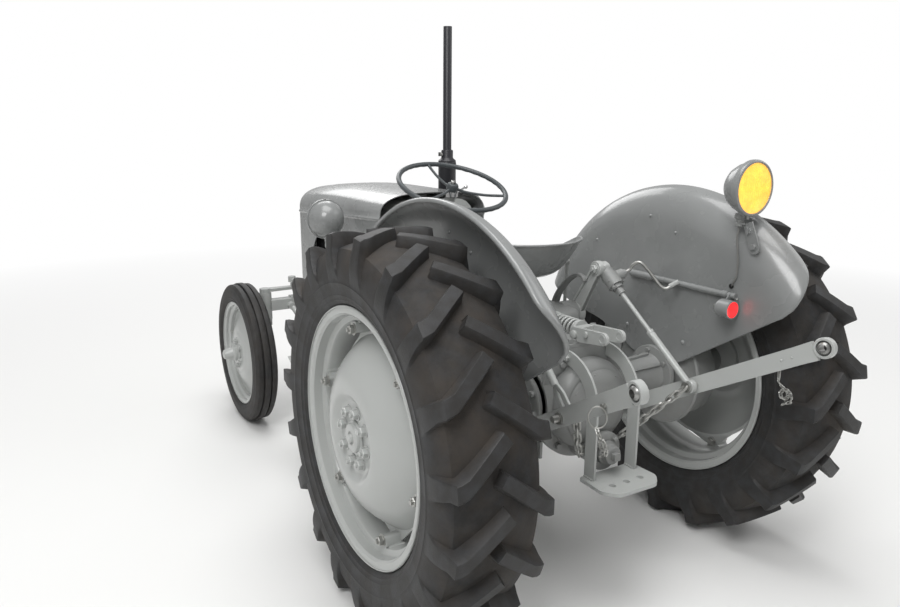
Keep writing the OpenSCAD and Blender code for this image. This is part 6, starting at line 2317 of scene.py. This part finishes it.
@dataclass
class Studio:
    """Pale floor, soft lamps and the camera at the photograph's angle; places are metres in the frame."""

    camera: Triple = (-1.5764, -2.5841, 1.4708)
    yaw: float = 0.5409
    pitch: float = 0.2348
    roll: float = 0.005
    focal: float = 761.4
    frame_width: float = 900.0
    sensor: float = 36.0
    floor_shade: Triple = (0.78, 0.78, 0.77)
    fade: Pair = (1.8, 6.5)
    floor_reach: float = 30.0
    sky_level: Pair = (0.42, 1.0)
    look_at: Triple = (0.0, 0.0, 0.6)
    lamps: tuple[tuple[str, Triple, float, float], ...] = (
        ("key", (-3.5, -3.0, 5.0), 170.0, 2.6), ("fill", (4.5, -2.0, 4.0), 50.0, 3.6),
        ("back", (1.0, 5.5, 4.5), 120.0, 3.6), ("top", (-0.5, -0.5, 6.5), 210.0, 4.0))

    def shoot(self) -> None:
        """Places the camera: it looks along its yaw, down by its pitch, with a slight roll."""
        data = bpy.data.cameras.new("photo_view")
        data.sensor_width, data.lens = self.sensor, self.focal / self.frame_width * self.sensor
        data.clip_end = 60.0
        look = Vector((math.sin(self.yaw) * math.cos(self.pitch), math.cos(self.yaw) * math.cos(self.pitch),
                       -math.sin(self.pitch)))
        turn = look.to_track_quat("-Z", "Y").to_matrix() @ Matrix.Rotation(self.roll, 3, "Z")
        made = show("photo_view", data)
        made.matrix_world = Matrix.Translation(self.camera) @ turn.to_4x4()
        bpy.context.scene.camera = made

    def floor(self) -> None:
        """Lays a wide pale floor that turns white for the camera far away."""
        graph = Graph("studio_floor")
        graph.set(Roughness=0.85, Specular_IOR_Level=0.2, Base_Color=(*self.floor_shade, 1.0))
        away = graph.node("ShaderNodeVectorMath", operation="LENGTH")
        graph.link(graph.node("ShaderNodeTexCoord").outputs["Object"], away.inputs[0])
        glow, blend = graph.node("ShaderNodeEmission"), graph.node("ShaderNodeMixShader")
        camera_ray = graph.node("ShaderNodeLightPath").outputs["Is Camera Ray"]
        graph.link(graph.times(graph.span(away.outputs["Value"], *self.fade), camera_ray), blend.inputs["Fac"])
        graph.link(graph.shader.outputs["BSDF"], blend.inputs[1])
        graph.link(glow.outputs["Emission"], blend.inputs[2])
        graph.link(blend.outputs["Shader"], graph.material.node_tree.nodes["Material Output"].inputs["Surface"])
        far = self.floor_reach / MM
        form = Form(PAINT).block((-far, -far, -20), (far, far, -1))
        mesh = bpy.data.meshes.new("floor")
        mesh.from_pydata((form.points[0] * MM).tolist(), [], [f for g, _ in form.faces for f in g.tolist()])
        mesh.materials.append(graph.material)
        show("floor", mesh)

    def lamp(self, name: str, at: Point, power: float, size: float) -> None:
        """Hangs a square soft lamp that faces the tractor.

        Args:
            name: the lamp's name.
            at: its place.
            power: its power in watts.
            size: its side in metres.
        """
        data = bpy.data.lights.new(name, "AREA")
        data.energy, data.size = power, size
        made = show(name, data)
        made.location = at
        made.rotation_euler = (Vector(self.look_at) - Vector(at)).to_track_quat("-Z", "Y").to_euler()

    def sky(self) -> None:
        """Gives the world an even pale light, and white where the camera sees it, also through glass."""
        world = bpy.data.worlds.new("studio")
        world.use_nodes = True
        tree = world.node_tree
        back = tree.nodes["Background"]
        back.inputs["Color"].default_value = (1.0, 1.0, 1.0, 1.0)
        path = tree.nodes.new("ShaderNodeLightPath")
        either = tree.nodes.new("ShaderNodeMath")
        either.operation = "MAXIMUM"
        tree.links.new(path.outputs["Is Camera Ray"], either.inputs[0])
        tree.links.new(path.outputs["Is Transmission Ray"], either.inputs[1])
        level = tree.nodes.new("ShaderNodeMapRange")
        level.inputs["To Min"].default_value, level.inputs["To Max"].default_value = self.sky_level
        tree.links.new(either.outputs[0], level.inputs["Value"])
        tree.links.new(level.outputs["Result"], back.inputs["Strength"])
        bpy.context.scene.world = world

    def build(self) -> None:
        """Sets up the whole studio."""
        bpy.context.scene.view_settings.view_transform = "Standard"
        self.shoot()
        self.floor()
        self.sky()
        for settings in self.lamps:
            self.lamp(*settings)


def dress_frame(frame: dict) -> None:
    """Gives each CAD node that still shows its finish.
    """
    finishes = {"rubber": RUBBER, "black_heat_paint": BLACK, "steering_rim": DARK_GRIP, "radiator_black": CORE}
    slots = {part["node"]: part["material_slot"] for part in frame["record"]["subparts"]}
    for name, node in frame["nodes"].items():
        node.data.materials.clear()
        node.data.materials.append(finishes.get(slots[name], PAINT).material())


def main() -> None:
    logging.basicConfig(level=logging.INFO, format="%(name)s: %(message)s")
    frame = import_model()
    Studio().build()
    shop = Workshop()
    for side, phase in ((Side.LEFT, 11.7), (Side.RIGHT, 9.0)):
        RearWheel(side).build(shop, phase)
        FrontWheel(side).build(shop)
        Mudguard(side).build(shop)
    for maker in (Bonnet, SeatPan, WorkLamp, TailLamp, HeadLamps, SteeringWheel, Stack, Linkage, Rear):
        maker().build(shop)
    dress_frame(frame)
    log.info("%d pieces made", shop.made)


if __name__ == "__main__":
    main()
